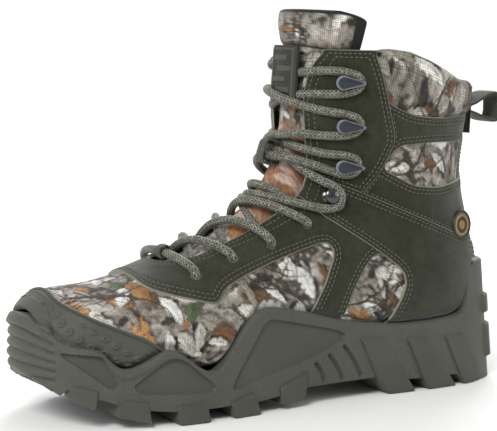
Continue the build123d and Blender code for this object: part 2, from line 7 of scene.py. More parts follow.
import bpy
import numpy as np
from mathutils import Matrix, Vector


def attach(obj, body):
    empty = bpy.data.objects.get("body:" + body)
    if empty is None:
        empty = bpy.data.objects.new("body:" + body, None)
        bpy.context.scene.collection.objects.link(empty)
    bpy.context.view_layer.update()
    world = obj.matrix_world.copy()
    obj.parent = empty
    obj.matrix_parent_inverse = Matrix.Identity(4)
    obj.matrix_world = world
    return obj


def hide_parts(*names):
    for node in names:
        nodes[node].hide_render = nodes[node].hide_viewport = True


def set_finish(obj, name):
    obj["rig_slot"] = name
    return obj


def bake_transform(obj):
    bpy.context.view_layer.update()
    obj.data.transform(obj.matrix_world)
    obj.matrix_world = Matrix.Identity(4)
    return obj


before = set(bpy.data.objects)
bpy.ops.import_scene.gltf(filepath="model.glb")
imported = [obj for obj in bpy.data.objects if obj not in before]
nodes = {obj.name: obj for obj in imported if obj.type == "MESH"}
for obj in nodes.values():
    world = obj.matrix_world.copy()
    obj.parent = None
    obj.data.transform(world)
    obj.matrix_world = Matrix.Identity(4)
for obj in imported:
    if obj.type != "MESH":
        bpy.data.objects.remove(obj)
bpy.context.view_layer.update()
MM = 0.001

# ---------------------------------------------------------------- camera
# A long lens a metre away, a little above the boot, turned to its lateral side from the front.
CAMERA_AT, CAMERA_AIM = Vector((-0.5959, -0.9213, 0.224)), Vector((-0.106, 0, 0.107))
camera = bpy.data.objects.new("camera", bpy.data.cameras.new("camera"))
bpy.context.scene.collection.objects.link(camera)
camera.data.sensor_width = 36
camera.data.lens = 128.6
camera.location = CAMERA_AT
camera.rotation_euler = (CAMERA_AIM - CAMERA_AT).to_track_quat("-Z", "Y").to_euler()
bpy.context.scene.camera = camera

# ---------------------------------------------------------------- lace
# One round braided polyester cord, 5 mm thick, olive grey with pale flecks. It runs through four punched
# pairs of holes, round four pairs of hooks, and its two tips are tucked behind the medial flap.
LACE_DIAMETER = 5.0
LACE_STEP, LACE_SIDES = 0.5, 24
BRAID_PITCH, BRAID_STRANDS, BRAID_RELIEF = 2.3, 8, 0.22
LACE_ROUTE = [
    (-71, 17.5, 148.5), (-71.4, 19.5, 160), (-72.2, 20, 172), (-74, 18.5, 182), (-77, 14, 188.5),
    (-79.8, 5, 190.5), (-80, -7, 191), (-79, -20, 192), (-71, -31.5, 193), (-61.5, -38.3, 192),
    (-54, -42, 189), (-54, -41.5, 182.5), (-61, -37.5, 179.5), (-70, -31, 179), (-79.5, -20.5, 179.3),
    (-81.9, -7, 177), (-81.9, 7, 175), (-80, 20, 171.5), (-70, 30.5, 168.5), (-60.5, 36.2, 167.3),
    (-53, 39.4, 164.3), (-52.8, 38.8, 157.8), (-60, 35, 154.7), (-70, 29.3, 154.5), (-80, 20, 154.6),
    (-85, 7, 152), (-85.2, -6, 150), (-80.5, -20, 147), (-70, -28, 144), (-59.5, -33.2, 143.2),
    (-52, -36, 140.3), (-52, -35.4, 133.7), (-58.5, -32.5, 131), (-67, -30, 134), (-77, -25, 138),
    (-87.5, -17, 141.7), (-95, -6, 143), (-96.7, 7, 141.5), (-91, 18, 136), (-81, 25.8, 130.3),
    (-72, 30.5, 126),
    (-64.3, 34, 124), (-61.5, 35, 117.5), (-67, 33.6, 112.5), (-78, 29.8, 113.5), (-92, 20, 120),
    (-101.5, 8, 126), (-99.5, -6, 125.5), (-89.5, -16.5, 118), (-84.5, -21.5, 109.5), (-81.8, -24.2, 101.5),
    (-83, -32.8, 104.7), (-93, -28, 110.5), (-104, -17.5, 116), (-113.3, -4, 118), (-113.9, 8, 111.5),
    (-108.5, 18.5, 100), (-106.9, 26.1, 90.8), (-107.7, 34.2, 95.3), (-115.5, 24, 104), (-122, 12, 106.5),
    (-126.3, 0, 99), (-128.6, -10.5, 94.5), (-129.8, -19.5, 89.5), (-131.7, -26.7, 82.6),
    (-133.2, -33.6, 89), (-139.3, -25.5, 93.5), (-145, -13, 96.5), (-149, 0, 95), (-151, 11.5, 88.5),
    (-152.8, 20.5, 80.8), (-156.3, 29.4, 74.2), (-158, 35.8, 81.6), (-162.5, 24, 87.5), (-164.6, 8.5, 90),
    (-164.4, -8, 89.6), (-162, -24, 87.2), (-157.8, -35.8, 81.6), (-156.3, -29.4, 74.2), (-153, -20.5, 81),
    (-149.5, -10.5, 86.5), (-145.5, 1, 89), (-141.8, 12, 95), (-138.5, 24, 94.5), (-133.2, 33.6, 89),
    (-131.7, 26.7, 82.6), (-130.8, 20, 89.6), (-131.8, 11.5, 97), (-130.3, 0, 104.5), (-124, -12.5, 107.5),
    (-115.8, -25, 104), (-107.7, -34.2, 95.3), (-106.9, -26.1, 90.8), (-108.3, -18.3, 99.8),
    (-110.5, -9, 107), (-109, 2, 112), (-104.5, 13, 118), (-95, 25.5, 113), (-83, 32.8, 104.7),
    (-81.8, 24.2, 101.5), (-86, 22.3, 109), (-97, 16, 115), (-106, 5, 120.3), (-104.5, -8, 120),
    (-96, -19.5, 118), (-84, -28.5, 115), (-73, -32, 112), (-65, -34.4, 113), (-61.8, -35.2, 119.5),
    (-66.5, -33, 125.5), (-73.5, -29.3, 128.7), (-79.5, -22.5, 133.5), (-85, -12, 140.5), (-89.5, 0, 147),
    (-89.5, 11, 145.3), (-82.5, 21.3, 139), (-71.5, 27.7, 132.5), (-60, 31.8, 130.5), (-52, 35.2, 133.5),
    (-52, 36.1, 140.1), (-59.5, 33.3, 143.4), (-70, 28.2, 143.3), (-82, 20, 147), (-90, 7.5, 152.8),
    (-90.5, -6.5, 155), (-83, -20, 156.3), (-71, -28.8, 154.8), (-60, -35, 154.6), (-52.6, -38.8, 157.8),
    (-52.9, -39.4, 164.3), (-60.5, -36.2, 167.4), (-70.5, -30.2, 169), (-80.5, -20, 172), (-88.7, -7, 176.8),
    (-89.3, 6, 179.5), (-83.5, 20, 181.3), (-71, 30.5, 179.7), (-61, 37.5, 179.6), (-54, 41.5, 182.5),
    (-54, 42, 189), (-61.5, 38.4, 192), (-71, 31.6, 193.8), (-79, 22, 194.8), (-81.8, 15, 197),
    (-78.3, 11.5, 201), (-73, 16.5, 202.3), (-69.3, 23, 198), (-65, 28, 190), (-63.2, 28.8, 179),
    (-62.8, 27, 167),
    (-64, 23.8, 156)]


def piece(name, points, faces, finish, slot, body="root", uv=None, values=None):
    """A smooth mesh piece from arrays of points and faces, on a CAD body. values are point attributes."""
    mesh = bpy.data.meshes.new(name)
    faces = np.asarray(faces, np.int32)
    mesh.vertices.add(len(points))
    mesh.vertices.foreach_set("co", np.asarray(points, np.float32).ravel())
    mesh.loops.add(faces.size)
    mesh.loops.foreach_set("vertex_index", faces.ravel())
    mesh.polygons.add(len(faces))
    mesh.polygons.foreach_set("loop_start", np.arange(0, faces.size, faces.shape[1], dtype=np.int32))
    mesh.polygons.foreach_set("use_smooth", np.ones(len(faces), bool))
    if uv is not None:
        mesh.uv_layers.new(name="UVMap").data.foreach_set("uv", np.asarray(uv, np.float32)[faces.ravel()].ravel())
    for key, data in (values or {}).items():
        if np.ndim(data) == 2:
            rgba = np.c_[data, np.ones(len(data))].astype(np.float32)
            mesh.attributes.new(key, "FLOAT_COLOR", "POINT").data.foreach_set("color", rgba.ravel())
        else:
            mesh.attributes.new(key, "FLOAT", "POINT").data.foreach_set("value", np.asarray(data, np.float32))
    mesh.update(calc_edges=True)
    mesh.materials.append(finish)
    made = bpy.data.objects.new(name, mesh)
    bpy.context.scene.collection.objects.link(made)
    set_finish(made, slot)
    if body:
        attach(made, body)
    return made


def grid_faces(rows, columns, closed=False):
    """Quads of a rows x columns sheet of points, closed round its columns or open."""
    across = columns if closed else columns - 1
    i, j = np.meshgrid(np.arange(rows - 1), np.arange(across), indexing="ij")
    k = (j + 1) % columns
    return np.stack([i * columns + j, i * columns + k, (i + 1) * columns + k, (i + 1) * columns + j],
                    -1).reshape(-1, 4)


def node(tree, kind, inputs=(), **settings):
    """A shader node with its settings made and its inputs set to values or joined to other sockets."""
    made = tree.nodes.new("ShaderNode" + kind)
    for key, value in settings.items():
        setattr(made, key, value)
    for socket, value in dict(inputs).items():
        if isinstance(value, bpy.types.NodeSocket):
            tree.links.new(value, made.inputs[socket])
        else:
            made.inputs[socket].default_value = value
    return made


def maths(tree, operation, first, second=0.0, third=0.0):
    """One maths node's result."""
    return node(tree, "Math", {0: first, 1: second, 2: third}, operation=operation).outputs[0]


def mixed(tree, share, first, second, blend="MIX"):
    """Two colours mixed."""
    made = node(tree, "Mix", {0: share, 6: first, 7: second}, data_type="RGBA", blend_type=blend)
    return made.outputs[2]


def ramp(tree, value, *stops):
    """A colour ramp through (place, grey or colour) stops."""
    made = node(tree, "ValToRGB", {0: value})
    for at, (place, colour) in enumerate(stops):
        stop = made.color_ramp.elements[at] if at < 2 else made.color_ramp.elements.new(place)
        stop.position = place
        stop.color = (*((colour,) * 3 if np.isscalar(colour) else colour), 1)
    return made.outputs[0]


def noise(tree, where, scale, detail=3.0, roughness=0.5):
    """Fractal noise from 0 to 1 at these coordinates."""
    inputs = {"Vector": where, "Scale": scale, "Detail": detail, "Roughness": roughness}
    return node(tree, "TexNoise", inputs).outputs[0]


def finish_of(name, **sockets):
    """A material with constants set on its Principled node, and its tree, shader and coordinates."""
    made = bpy.data.materials.new(name)
    made.use_nodes = True
    shader = made.node_tree.nodes["Principled BSDF"]
    for key, value in sockets.items():
        socket = shader.inputs[key.replace("_", " ")]
        socket.default_value = (*value, 1) if isinstance(value, tuple) else value
    return made, made.node_tree, shader, node(made.node_tree, "TexCoord").outputs["Object"]


def relief(tree, shader, height, distance, strength=1.0):
    """Bump from a height, metres deep."""
    bump = node(tree, "Bump", {"Height": height, "Distance": distance, "Strength": strength})
    tree.links.new(bump.outputs[0], shader.inputs["Normal"])


def run_of(points):
    """Distance along a line of points, from its first."""
    return np.r_[0, np.cumsum(np.linalg.norm(np.diff(points, axis=0), axis=1))]


def resampled(points, step):
    """The same line with its points evenly spaced."""
    run = run_of(points)
    at = np.linspace(0, run[-1], max(2, round(run[-1] / step) + 1))
    return np.stack([np.interp(at, run, column) for column in points.T], 1)


def frames_along(line):
    """Unit directions along a line, and two across it that turn as little as they can."""
    along = np.gradient(line, axis=0)
    along /= np.linalg.norm(along, axis=1)[:, None]
    across = np.zeros_like(along)
    across[0] = np.cross(along[0], (0.0, 0.0, 1.0) if abs(along[0][2]) < 0.9 else (1.0, 0.0, 0.0))
    for k in range(1, len(line)):
        across[k] = across[k - 1] - along[k] * (across[k - 1] @ along[k])
        across[k] /= np.linalg.norm(across[k])
    across[0] /= np.linalg.norm(across[0])
    return along, across, np.cross(along, across)


route = bpy.data.curves.new("lace_route", "CURVE")
route.dimensions = "3D"
route.resolution_u = 10
spline = route.splines.new("NURBS")
spline.points.add(len(LACE_ROUTE) - 1)
for point, (x, y, z) in zip(spline.points, LACE_ROUTE):
    point.co = (x * MM, y * MM, z * MM, 1)
spline.order_u = 3
spline.use_endpoint_u = True
route_object = bpy.data.objects.new("lace_route", route)
bpy.context.scene.collection.objects.link(route_object)
bpy.context.view_layer.update()
route_mesh = bpy.data.meshes.new_from_object(route_object)
lace_line = resampled(np.array([v.co for v in route_mesh.vertices], float), LACE_STEP * MM)
bpy.data.objects.remove(route_object)
lace_run = run_of(lace_line)
_, lace_side, lace_up = frames_along(lace_line)
turn = np.arange(LACE_SIDES) / LACE_SIDES
run_grid, turn_grid = np.meshgrid(lace_run / MM / BRAID_PITCH, turn * BRAID_STRANDS, indexing="ij")
strand_a, strand_b = turn_grid + run_grid, turn_grid - run_grid
a_over = (np.floor(strand_a) + np.floor(strand_b)) % 2 < 1
across_strand = np.where(a_over, strand_a, strand_b) % 1
along_strand = np.where(a_over, strand_b, strand_a) % 1
bulge = np.sin(np.pi * across_strand) ** 0.8 * np.sin(np.pi * along_strand) ** 0.45
radius = (LACE_DIAMETER / 2 - BRAID_RELIEF * 0.6 + BRAID_RELIEF * bulge) * MM
angle = 2 * np.pi * turn
rim = lace_side[:, None] * np.cos(angle)[None, :, None] + lace_up[:, None] * np.sin(angle)[None, :, None]
lace_points = (lace_line[:, None] + rim * radius[..., None]).reshape(-1, 3)
cell = np.floor(strand_a) * 12.9898 + np.floor(strand_b % BRAID_STRANDS) * 78.233
# Lace colour: painted shade, near black in the gaps between strands and lighter on each strand's crest. The pale flecks
# are the yarn's own colour.
pale = (np.modf(np.abs(np.sin(cell)) * 43758.5)[0] * 0.7 + 0.3) * np.clip(bulge * 2.0 - 0.8, 0, 1)
lace_colour = np.array((0.004, 0.0045, 0.003)) + bulge.reshape(-1, 1) ** 1.5 * np.array((0.030, 0.032, 0.022))
lace_colour = lace_colour + pale.reshape(-1, 1) * np.array((0.36, 0.36, 0.29))
lace_finish, tree, shader, _ = finish_of("lace_cord", Roughness=0.72, Sheen_Weight=0.25, Sheen_Roughness=0.4)
braid = node(tree, "Attribute", attribute_name="colour").outputs["Color"]
tree.links.new(braid, shader.inputs["Base Color"])
lace = piece("lace_braid", lace_points, grid_faces(len(lace_line), LACE_SIDES, True), lace_finish,
             "lace_cord",
             values={"colour": lace_colour})
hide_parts("lace")
aglet_finish, *_ = finish_of("aglet_plastic", Base_Color=(0.012, 0.012, 0.012), Roughness=0.3)


def dress(finish, slot, *names):
    """CAD nodes shown as they are, with a finish."""
    for name in names:
        nodes[name].data.materials.clear()
        nodes[name].data.materials.append(finish)
        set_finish(nodes[name], slot)


dress(aglet_finish, "aglet_plastic", "aglets")

# ---------------------------------------------------------------- shape of the upper
# The lasted surface that every panel lies on, through the same stations as the part: top or front (x, z),
# bottom or back (x, z), lateral and medial half width, where it is widest, and how square its halves are.
STATIONS = np.array([
    (-247, 62, -248, 35, 26, 25, 0.42, 2.6, 2.0), (-237, 69.5, -239, 31, 36, 35, 0.38, 2.9, 2.1),
    (-216, 73.5, -218, 27, 45, 43, 0.34, 3.1, 2.1), (-163, 86.5, -163, 22, 52, 48, 0.30, 3.2, 2.0),
    (-120, 109.5, -92, 25, 45, 43, 0.27, 3.0, 1.85), (-98, 135, -8, 31, 39, 38, 0.30, 2.7, 1.8),
    (-93, 147, 33, 37, 38, 38, 0.34, 2.5, 1.85), (-90, 158, 46, 60, 38, 38, 0.40, 2.3, 1.9),
    (-86, 181, 36, 120, 41, 41, 0.47, 2.1, 2.0), (-82, 208, 41, 176, 46, 46, 0.49, 2.1, 2.0),
    (-80, 222, 44, 204, 48, 48, 0.50, 2.1, 2.0)])


def curvature(knots, rows):
    """Second derivatives of the natural cubic spline through rows at knots."""
    n, gap = len(knots), np.diff(knots)
    left, right = np.eye(n), np.zeros_like(rows)
    for i in range(1, n - 1):
        left[i, i - 1:i + 2] = gap[i - 1], 2 * (gap[i - 1] + gap[i]), gap[i]
        right[i] = 6 * ((rows[i + 1] - rows[i]) / gap[i] - (rows[i] - rows[i - 1]) / gap[i - 1])
    return np.linalg.solve(left, right)


station_knots = run_of((STATIONS[:, 0:2] + STATIONS[:, 2:4]) / 2)
station_bend = curvature(station_knots, STATIONS)


def section_at(u):
    """The nine station values at u, where u = 0 is the toe and u = 10 the top of the shaft."""
    at = np.interp(u, np.arange(len(STATIONS)), station_knots)
    i = np.clip(np.searchsorted(station_knots, at) - 1, 0, len(STATIONS) - 2)
    gap = (station_knots[i + 1] - station_knots[i])[..., None]
    a = (station_knots[i + 1] - at)[..., None] / gap
    b = 1 - a
    smooth = ((a ** 3 - a) * station_bend[i] + (b ** 3 - b) * station_bend[i + 1]) * gap ** 2 / 6
    return np.moveaxis(a * STATIONS[i] + b * STATIONS[i + 1] + smooth, -1, 0)


def bare(u, t):
    """Points of the upper's surface, mm, and the middles of their sections. t is the turn round from the
    top or front, up to pi at the bottom or back, and positive on the lateral side."""
    tx, tz, bx, bz, lateral, medial, share, low, high = section_at(u)
    length = np.hypot(tx - bx, tz - bz)
    ex, ez = (tx - bx) / length, (tz - bz) / length
    c, s = np.cos(t), np.sin(t)
    power = np.where(c > 0, high, low)
    reach = (np.abs(c) ** power + np.abs(s) ** power) ** (-1 / power)
    rise = reach * c * length * np.where(c > 0, 1 - share, share)
    middle = np.stack([bx + ex * share * length, 0 * bx, bz + ez * share * length], -1)
    across = -reach * s * np.where(s > 0, lateral, medial)
    return middle + np.stack([ex * rise, across, ez * rise], -1), middle


def upper(u, t, lift=0.0):
    """Points and outward normals of the upper's surface, moved outwards by lift, mm."""
    u, t = np.broadcast_arrays(np.asarray(u, float), np.asarray(t, float))
    here, middle = bare(u, t)
    step = 2e-3
    low, high = np.clip(u - step, 0, 10), np.clip(u + step, 0, 10)
    normal = np.cross(bare(u, t + step)[0] - bare(u, t - step)[0], bare(high, t)[0] - bare(low, t)[0])
    normal /= np.linalg.norm(normal, axis=-1)[..., None] + 1e-12
    normal *= np.sign(np.sum(normal * (here - middle), -1))[..., None]
    return here + normal * np.asarray(lift, float)[..., None], normal


FINE_U = np.linspace(0, 10, 201)
side_run = run_of(bare(FINE_U, np.full(201, math.pi / 2))[0])
FINE_T = np.linspace(-math.pi, math.pi, 241)


def print_places(u, t):
    """Where points lie on the flat cloth, mm: along the side of the boot, and round it from the top."""
    around = np.empty(np.shape(u))
    for row, value in enumerate(u[:, 0]):
        ring = run_of(bare(np.full(241, value), FINE_T)[0])
        around[row] = np.interp(t[row], FINE_T, ring - ring[120])
    return np.interp(u, FINE_U, side_run), around


def patch(u_from, u_to, t_from, t_to, step):
    """A rectangle of the upper's surface as rows of point, normal, cloth place and u, t, and its triangles."""
    rows = max(2, round(abs(np.interp(u_to, FINE_U, side_run) - np.interp(u_from, FINE_U, side_run)) / step))
    columns = max(2, round((t_to - t_from) * 48 / step))
    u, t = np.meshgrid(np.linspace(u_from, u_to, rows), np.linspace(t_from, t_to, columns), indexing="ij")
    points, normals = upper(u, t)
    along, around = print_places(u, t)
    data = np.concatenate([points, normals, along[..., None], around[..., None], u[..., None],
                           t[..., None]], -1)
    quads = grid_faces(rows, columns)
    return data.reshape(-1, 10), np.concatenate([quads[:, [0, 1, 2]], quads[:, [0, 2, 3]]])


def rounded(outline, reach, passes=2, closed=True):
    """A side-view outline with its corners eased by cutting them, at most reach from each."""
    points = np.asarray(outline, float)
    for _ in range(passes):
        before, after = np.roll(points, 1, 0) - points, np.roll(points, -1, 0) - points
        cut = []
        for way in (before, after):
            size = np.linalg.norm(way, axis=1)[:, None] + 1e-9
            cut.append(points + way / size * np.minimum(reach, size * 0.3))
        eased = np.stack(cut, 1).reshape(-1, 2)
        points = eased if closed else np.concatenate([points[:1], eased[2:-2], points[-1:]])
        reach /= 2.5
    return points


def inside(x, z, outline):
    """How far points are inside a closed outline, mm; negative outside it."""
    first = np.asarray(outline, float)
    nearest, odd = np.full(np.shape(x), 1e9), np.zeros(np.shape(x), bool)
    for (ax, az), (bx, bz) in zip(first, np.roll(first, -1, 0)):
        dx, dz = bx - ax, bz - az
        along = np.clip(((x - ax) * dx + (z - az) * dz) / (dx * dx + dz * dz + 1e-12), 0, 1)
        nearest = np.minimum(nearest, (x - ax - along * dx) ** 2 + (z - az - along * dz) ** 2)
        if dz:
            odd ^= ((az > z) != (bz > z)) & (x < dx * (z - az) / dz + ax)
    return np.where(odd, 1, -1) * np.sqrt(nearest)


def eased(value, low, high):
    """Smooth step from 0 at low to 1 at high."""
    share = np.clip((value - low) / (high - low), 0, 1)
    return share * share * (3 - 2 * share)


# ---------------------------------------------------------------- outsole
# One rubber moulding: a wall with a raised stippled rim round smooth sunk facets, ribs round the toe, slots at
# the waist and blocks down the heel. It is cemented and stitched to the upper.
SOLE_PLAN = [(58, 0), (53, -21), (32, -35), (0, -41), (-45, -42), (-90, -47), (-130, -54), (-165, -58),
             (-195, -56), (-222, -49), (-243, -34), (-255, -13), (-255, 9), (-245, 29), (-226, 43),
             (-195, 52), (-160, 53), (-120, 47), (-85, 42), (-45, 40), (0, 40), (32, 35), (53, 21)]
SOLE_RIM = [(-266, 63), (-252, 61), (-247, 55), (-243, 57), (-240.5, 49), (-232, 45), (-221, 44), (-215, 36),
            (-208, 31.5), (-198, 35), (-185, 42), (-180, 41.5), (-174, 37), (-162, 28.5), (-156, 27),
            (-151, 28.5), (-145, 36), (-136, 48.5), (-128, 56), (-120, 59.5), (-111, 59), (-89, 53.5),
            (-67, 47.5),
            (-50, 44), (-24, 41), (0, 41), (17, 42), (24, 44), (27.5, 48.5), (29.5, 57), (31.5, 68),
            (34, 73), (70, 75)]
SOLE_FLOOR = [(-266, 44), (-254, 29), (-241, 18.6), (-238, 22), (-224, 17.5), (-214, 14), (-195, 9.5),
              (-179, 7.5), (-126, 7.5),
              (-112, 8.5), (-90, 11), (-40, 11), (-33, 8), (17, 7), (23, 1), (52, 0.4), (56, 9), (59, 22)]
FACETS = [
    [(-241, 42.5), (-222.5, 41), (-219.5, 40), (-213, 25), (-213.5, 22.5), (-217.5, 22.5)],
    [(-204, 22.5), (-203.5, 24.5), (-185.5, 36.5), (-180.5, 37.5), (-175.5, 36), (-156.5, 20), (-156.5, 17),
     (-160, 16), (-202, 19)],
    [(-145, 16.5), (-143.5, 21), (-124, 48), (-120.5, 52), (-117, 53), (-80.5, 44.5), (-66, 40.5),
     (-63, 37.5),
     (-67, 35), (-87, 28), (-127, 19.5), (-142.5, 15.5)]]
WAIST_SLOTS = [[(-85.5, 23.5), (-81.5, 19), (-80, 13.5)], [(-75.5, 27.5), (-69.5, 20), (-66.8, 13)],
               [(-64.5, 31.5), (-57, 22), (-53.2, 13.5)]]
LUGS = [
    [(-236, 25), (-224, 21.5), (-225, 10.8), (-239, 17.5)],
    [(-213, 17), (-197.5, 14.5), (-195.5, 2.4), (-214, 7)],
    [(-181, 10.5), (-163, 12), (-160.5, 0.2), (-179.5, 0.2)],
    [(-147, 9), (-131, 13.5), (-126.5, 0.4), (-145, 0.2)],
    [(-112.5, 13.5), (-92, 20.5), (-94, 4.8), (-112, 3.4)],
    [(-52.5, 35.5), (-35.5, 34.5), (-14.5, 0.2), (-33, 0.2), (-41, 9)],
    [(-19.5, 33), (-4.5, 32), (16.5, 0.2), (-4.5, 0.2), (-10, 9), (-12.5, 17)],
    [(9.5, 31.5), (25, 31.5), (37, 10), (33, 0.2), (23, 0.2), (16, 15.5)]]
SOLE_LEAN, SOLE_LEAN_LENGTH, SOLE_MIDDLE = 0.90, 0.965, -99.0
WALL_STEP, WALL_ROWS = 0.6, 110
FACET_DEPTH, RIB_DEPTH, RIB_PITCH, LUG_LIFT = 1.5, 1.5, 6.4, 1.7

plan_points = np.array(SOLE_PLAN, float)
fine = np.arange(0, len(plan_points), 0.02)
place = np.floor(fine).astype(int)
share = (fine - place)[:, None]
corner = [plan_points[(place + k) % len(plan_points)] for k in (-1, 0, 1, 2)]
plan_line = (corner[1] * (2 * share ** 3 - 3 * share ** 2 + 1) + corner[2] * (3 * share ** 2 - 2 * share ** 3)
             + (corner[2] - corner[0]) / 2 * (share ** 3 - 2 * share ** 2 + share)
             + (corner[3] - corner[1]) / 2 * (share ** 3 - share ** 2))
plan_loop = np.concatenate([plan_line, plan_line[:1]])
plan_run = run_of(plan_loop)
toe_run = plan_run[np.argmin(plan_line[:, 0] + np.abs(plan_line[:, 1]) * 0.01)]


def wall(run, height, lift=0.0):
    """Points of the sole's wall at a run round its plan and a height, mm, moved outwards by lift."""
    lean = (height + 1) / 81
    scale = np.stack([1 + (SOLE_LEAN_LENGTH - 1) * lean, 1 + (SOLE_LEAN - 1) * lean], -1)
    at, ahead, behind = (np.stack([np.interp((run + way) % plan_run[-1], plan_run,
                                             plan_loop[:, k]) for k in (0, 1)], -1)
                         for way in (0, 0.8, -0.8))
    out = np.stack([(behind - ahead)[..., 1], (ahead - behind)[..., 0]], -1)
    out /= np.linalg.norm(out, axis=-1)[..., None]
    flat = (at - (SOLE_MIDDLE, 0)) * scale + (SOLE_MIDDLE, 0) + out * np.asarray(lift)[..., None]
    return np.concatenate([flat, np.broadcast_to(height, flat.shape[:-1])[..., None]], -1)


def side_run_at(x, side):
    """The run round the plan at x, on the lateral (-1) or medial (1) side."""
    half = np.sign(plan_loop[:-1, 1]) == side
    order = np.argsort(plan_loop[:-1, 0][half])
    return np.interp(x, plan_loop[:-1, 0][half][order], plan_run[:-1][half][order])


def rim_height(x):
    """Height of the sole's top edge at x."""
    return np.interp(x, *rounded(SOLE_RIM, 3, 2, closed=False).T)


def floor_height(x):
    """Height of the sole's underside between the lugs at x."""
    return np.interp(x, *np.array(SOLE_FLOOR, float).T)


def above_rim(data):
    """How far points are above the top of the sole's wall, mm."""
    return data[:, 2] - rim_height(data[:, 0])


even = np.arange(0, plan_run[-1], 0.1)
edge = wall(even, rim_height(wall(even, np.full(even.shape, 50.0))[:, 0]))
edge_run = run_of(edge)
columns = round(edge_run[-1] / WALL_STEP)
wall_runs = np.interp(np.linspace(0, edge_run[-1], columns, endpoint=False), edge_run, even)
rim_at = rim_height(wall(wall_runs, np.full(columns, 50.0))[:, 0])
floor_at = np.minimum(floor_height(wall(wall_runs, np.full(columns, 10.0))[:, 0]), rim_at - 4)
rise = np.linspace(0, 1, WALL_ROWS)[:, None]
heights = floor_at * (1 - rise) + rim_at * rise
runs = np.broadcast_to(wall_runs, heights.shape)
flat_wall = wall(runs, heights)
x, y, z = np.moveaxis(flat_wall, -1, 0)
sunk = np.full(x.shape, -1e9)
for outline in FACETS:
    sunk = np.maximum(sunk, inside(x, z, rounded(outline, 2.5)))
slot_gap = np.full(x.shape, 1e9)
for line in WAIST_SLOTS:
    bent = rounded(line, 3, 2, closed=False)
    for (ax, az), (bx, bz) in zip(bent, bent[1:]):
        along = np.clip(((x - ax) * (bx - ax) + (z - az) * (bz - az)) / ((bx - ax) ** 2 + (bz - az) ** 2),
                        0, 1)
        slot_gap = np.minimum(slot_gap, np.hypot(x - ax - along * (bx - ax), z - az - along * (bz - az)))
from_toe = np.abs((runs - toe_run + plan_run[-1] / 2) % plan_run[-1] - plan_run[-1] / 2)
drop = 9 * (from_toe / 31) ** 2 * np.clip((z - 22) / 35, 0.15, 1)
rib = np.abs(np.sin(np.pi * (z + drop - 2.5) / RIB_PITCH)) ** 0.75
rib_share = eased(-from_toe, -37, -32) * eased(z, 17, 22)
at_back = np.maximum(np.minimum(z - 13, 33.5 - z), np.minimum(z - 40.5, 52 - z))
back_block = eased(np.minimum(at_back, np.minimum(x - 37, 25 - np.abs(y))), -0.3, 0.7)
smoothness = eased(sunk, -0.2, 0.5)
lift = (0.25 * (1 - smoothness) - FACET_DEPTH * eased(sunk, -0.35, 0.55) - 2.2 * eased(-slot_gap, -1.5, -0.7)
        + rib_share * 1.35 * RIB_DEPTH * (rib - 0.6) + 2.6 * back_block)
lift -= 0.9 * eased(-(rim_at - z), -0.9, 0.0) ** 2
lift += 2.0 * eased(-x, 208, 232) * eased(z, 22, 40) - 0.6 * eased(-x, 244, 250)
lift += 1.1 * eased(-x, 150, 190) * (1 - eased(rim_at - z, 3.5, 6.5)) * (1 - smoothness)
walled = wall(runs, heights, lift)
inward = wall(wall_runs, rim_at, np.full(columns, -1.0)) - wall(wall_runs, rim_at)
lip = [walled[-1] + inward * reach + np.array((0, 0, up)) for reach,
       up in ((0.5, 0.35), (1.4, 0.45), (3, 0.3), (8, -0.6))]
under = []
for share in (0.02, 0.2, 0.5, 0.8, 1.0):
    row = walled[0] * (1, 1 - share, 1)
    row[:, 0] = walled[0][:, 0] + (np.clip(walled[0][:, 0], -225, 30) - walled[0][:, 0]) * share
    row[:, 2] = floor_height(row[:, 0]) + 0.3
    under.append(row)
sole_points = np.concatenate([np.stack(under[::-1]), walled, np.stack(lip)])
extra_low, extra_high = len(under), len(lip)


def with_ends(values, low_value, high_value):
    """A wall's point values with rows added for its underside and its lip."""
    return np.concatenate([np.full((extra_low, columns), low_value), values,
                           np.full((extra_high, columns), high_value)])


rubber, tree, shader, where = finish_of("rubber", Roughness=0.62, Specular_IOR_Level=0.35, Sheen_Weight=0.08)
stipple = node(tree, "Attribute", attribute_name="stipple").outputs["Fac"]
grain = noise(tree, where, 1500, 2, 0.6)
mottle = noise(tree, where, 35, 4, 0.6)
tint = ramp(tree, mottle, (0.3, (0.044, 0.045, 0.035)), (0.7, (0.058, 0.059, 0.047)))
flecked = mixed(tree, maths(tree, "MULTIPLY", stipple, ramp(tree, grain, (0.45, 0), (0.75, 0.55))), tint,
                (0.12, 0.12, 0.10, 1))
tree.links.new(flecked, shader.inputs["Base Color"])
fine_grain = noise(tree, where, 700, 3, 0.6)
relief(tree, shader, maths(tree, "MULTIPLY_ADD", grain, maths(tree, "MULTIPLY_ADD", stipple, 0.9, 0.06),
                           maths(tree, "MULTIPLY", fine_grain, 0.15)), 0.0003, 0.8)
sole = piece("outsole_shell", sole_points.reshape(-1, 3) * MM,
             grid_faces(len(sole_points), columns, True)[:, ::-1], rubber,
             "rubber", values={"stipple": with_ends(1 - smoothness, 0.2, 0.8).ravel()})
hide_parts("outsole")


def joined(parts):
    """Several (points, quads or triangles) meshes as one."""
    sizes = np.cumsum([0] + [len(points) for points, _ in parts])
    return np.concatenate([p for p, _ in parts]), np.concatenate([f + n for (_, f), n in zip(parts, sizes)])


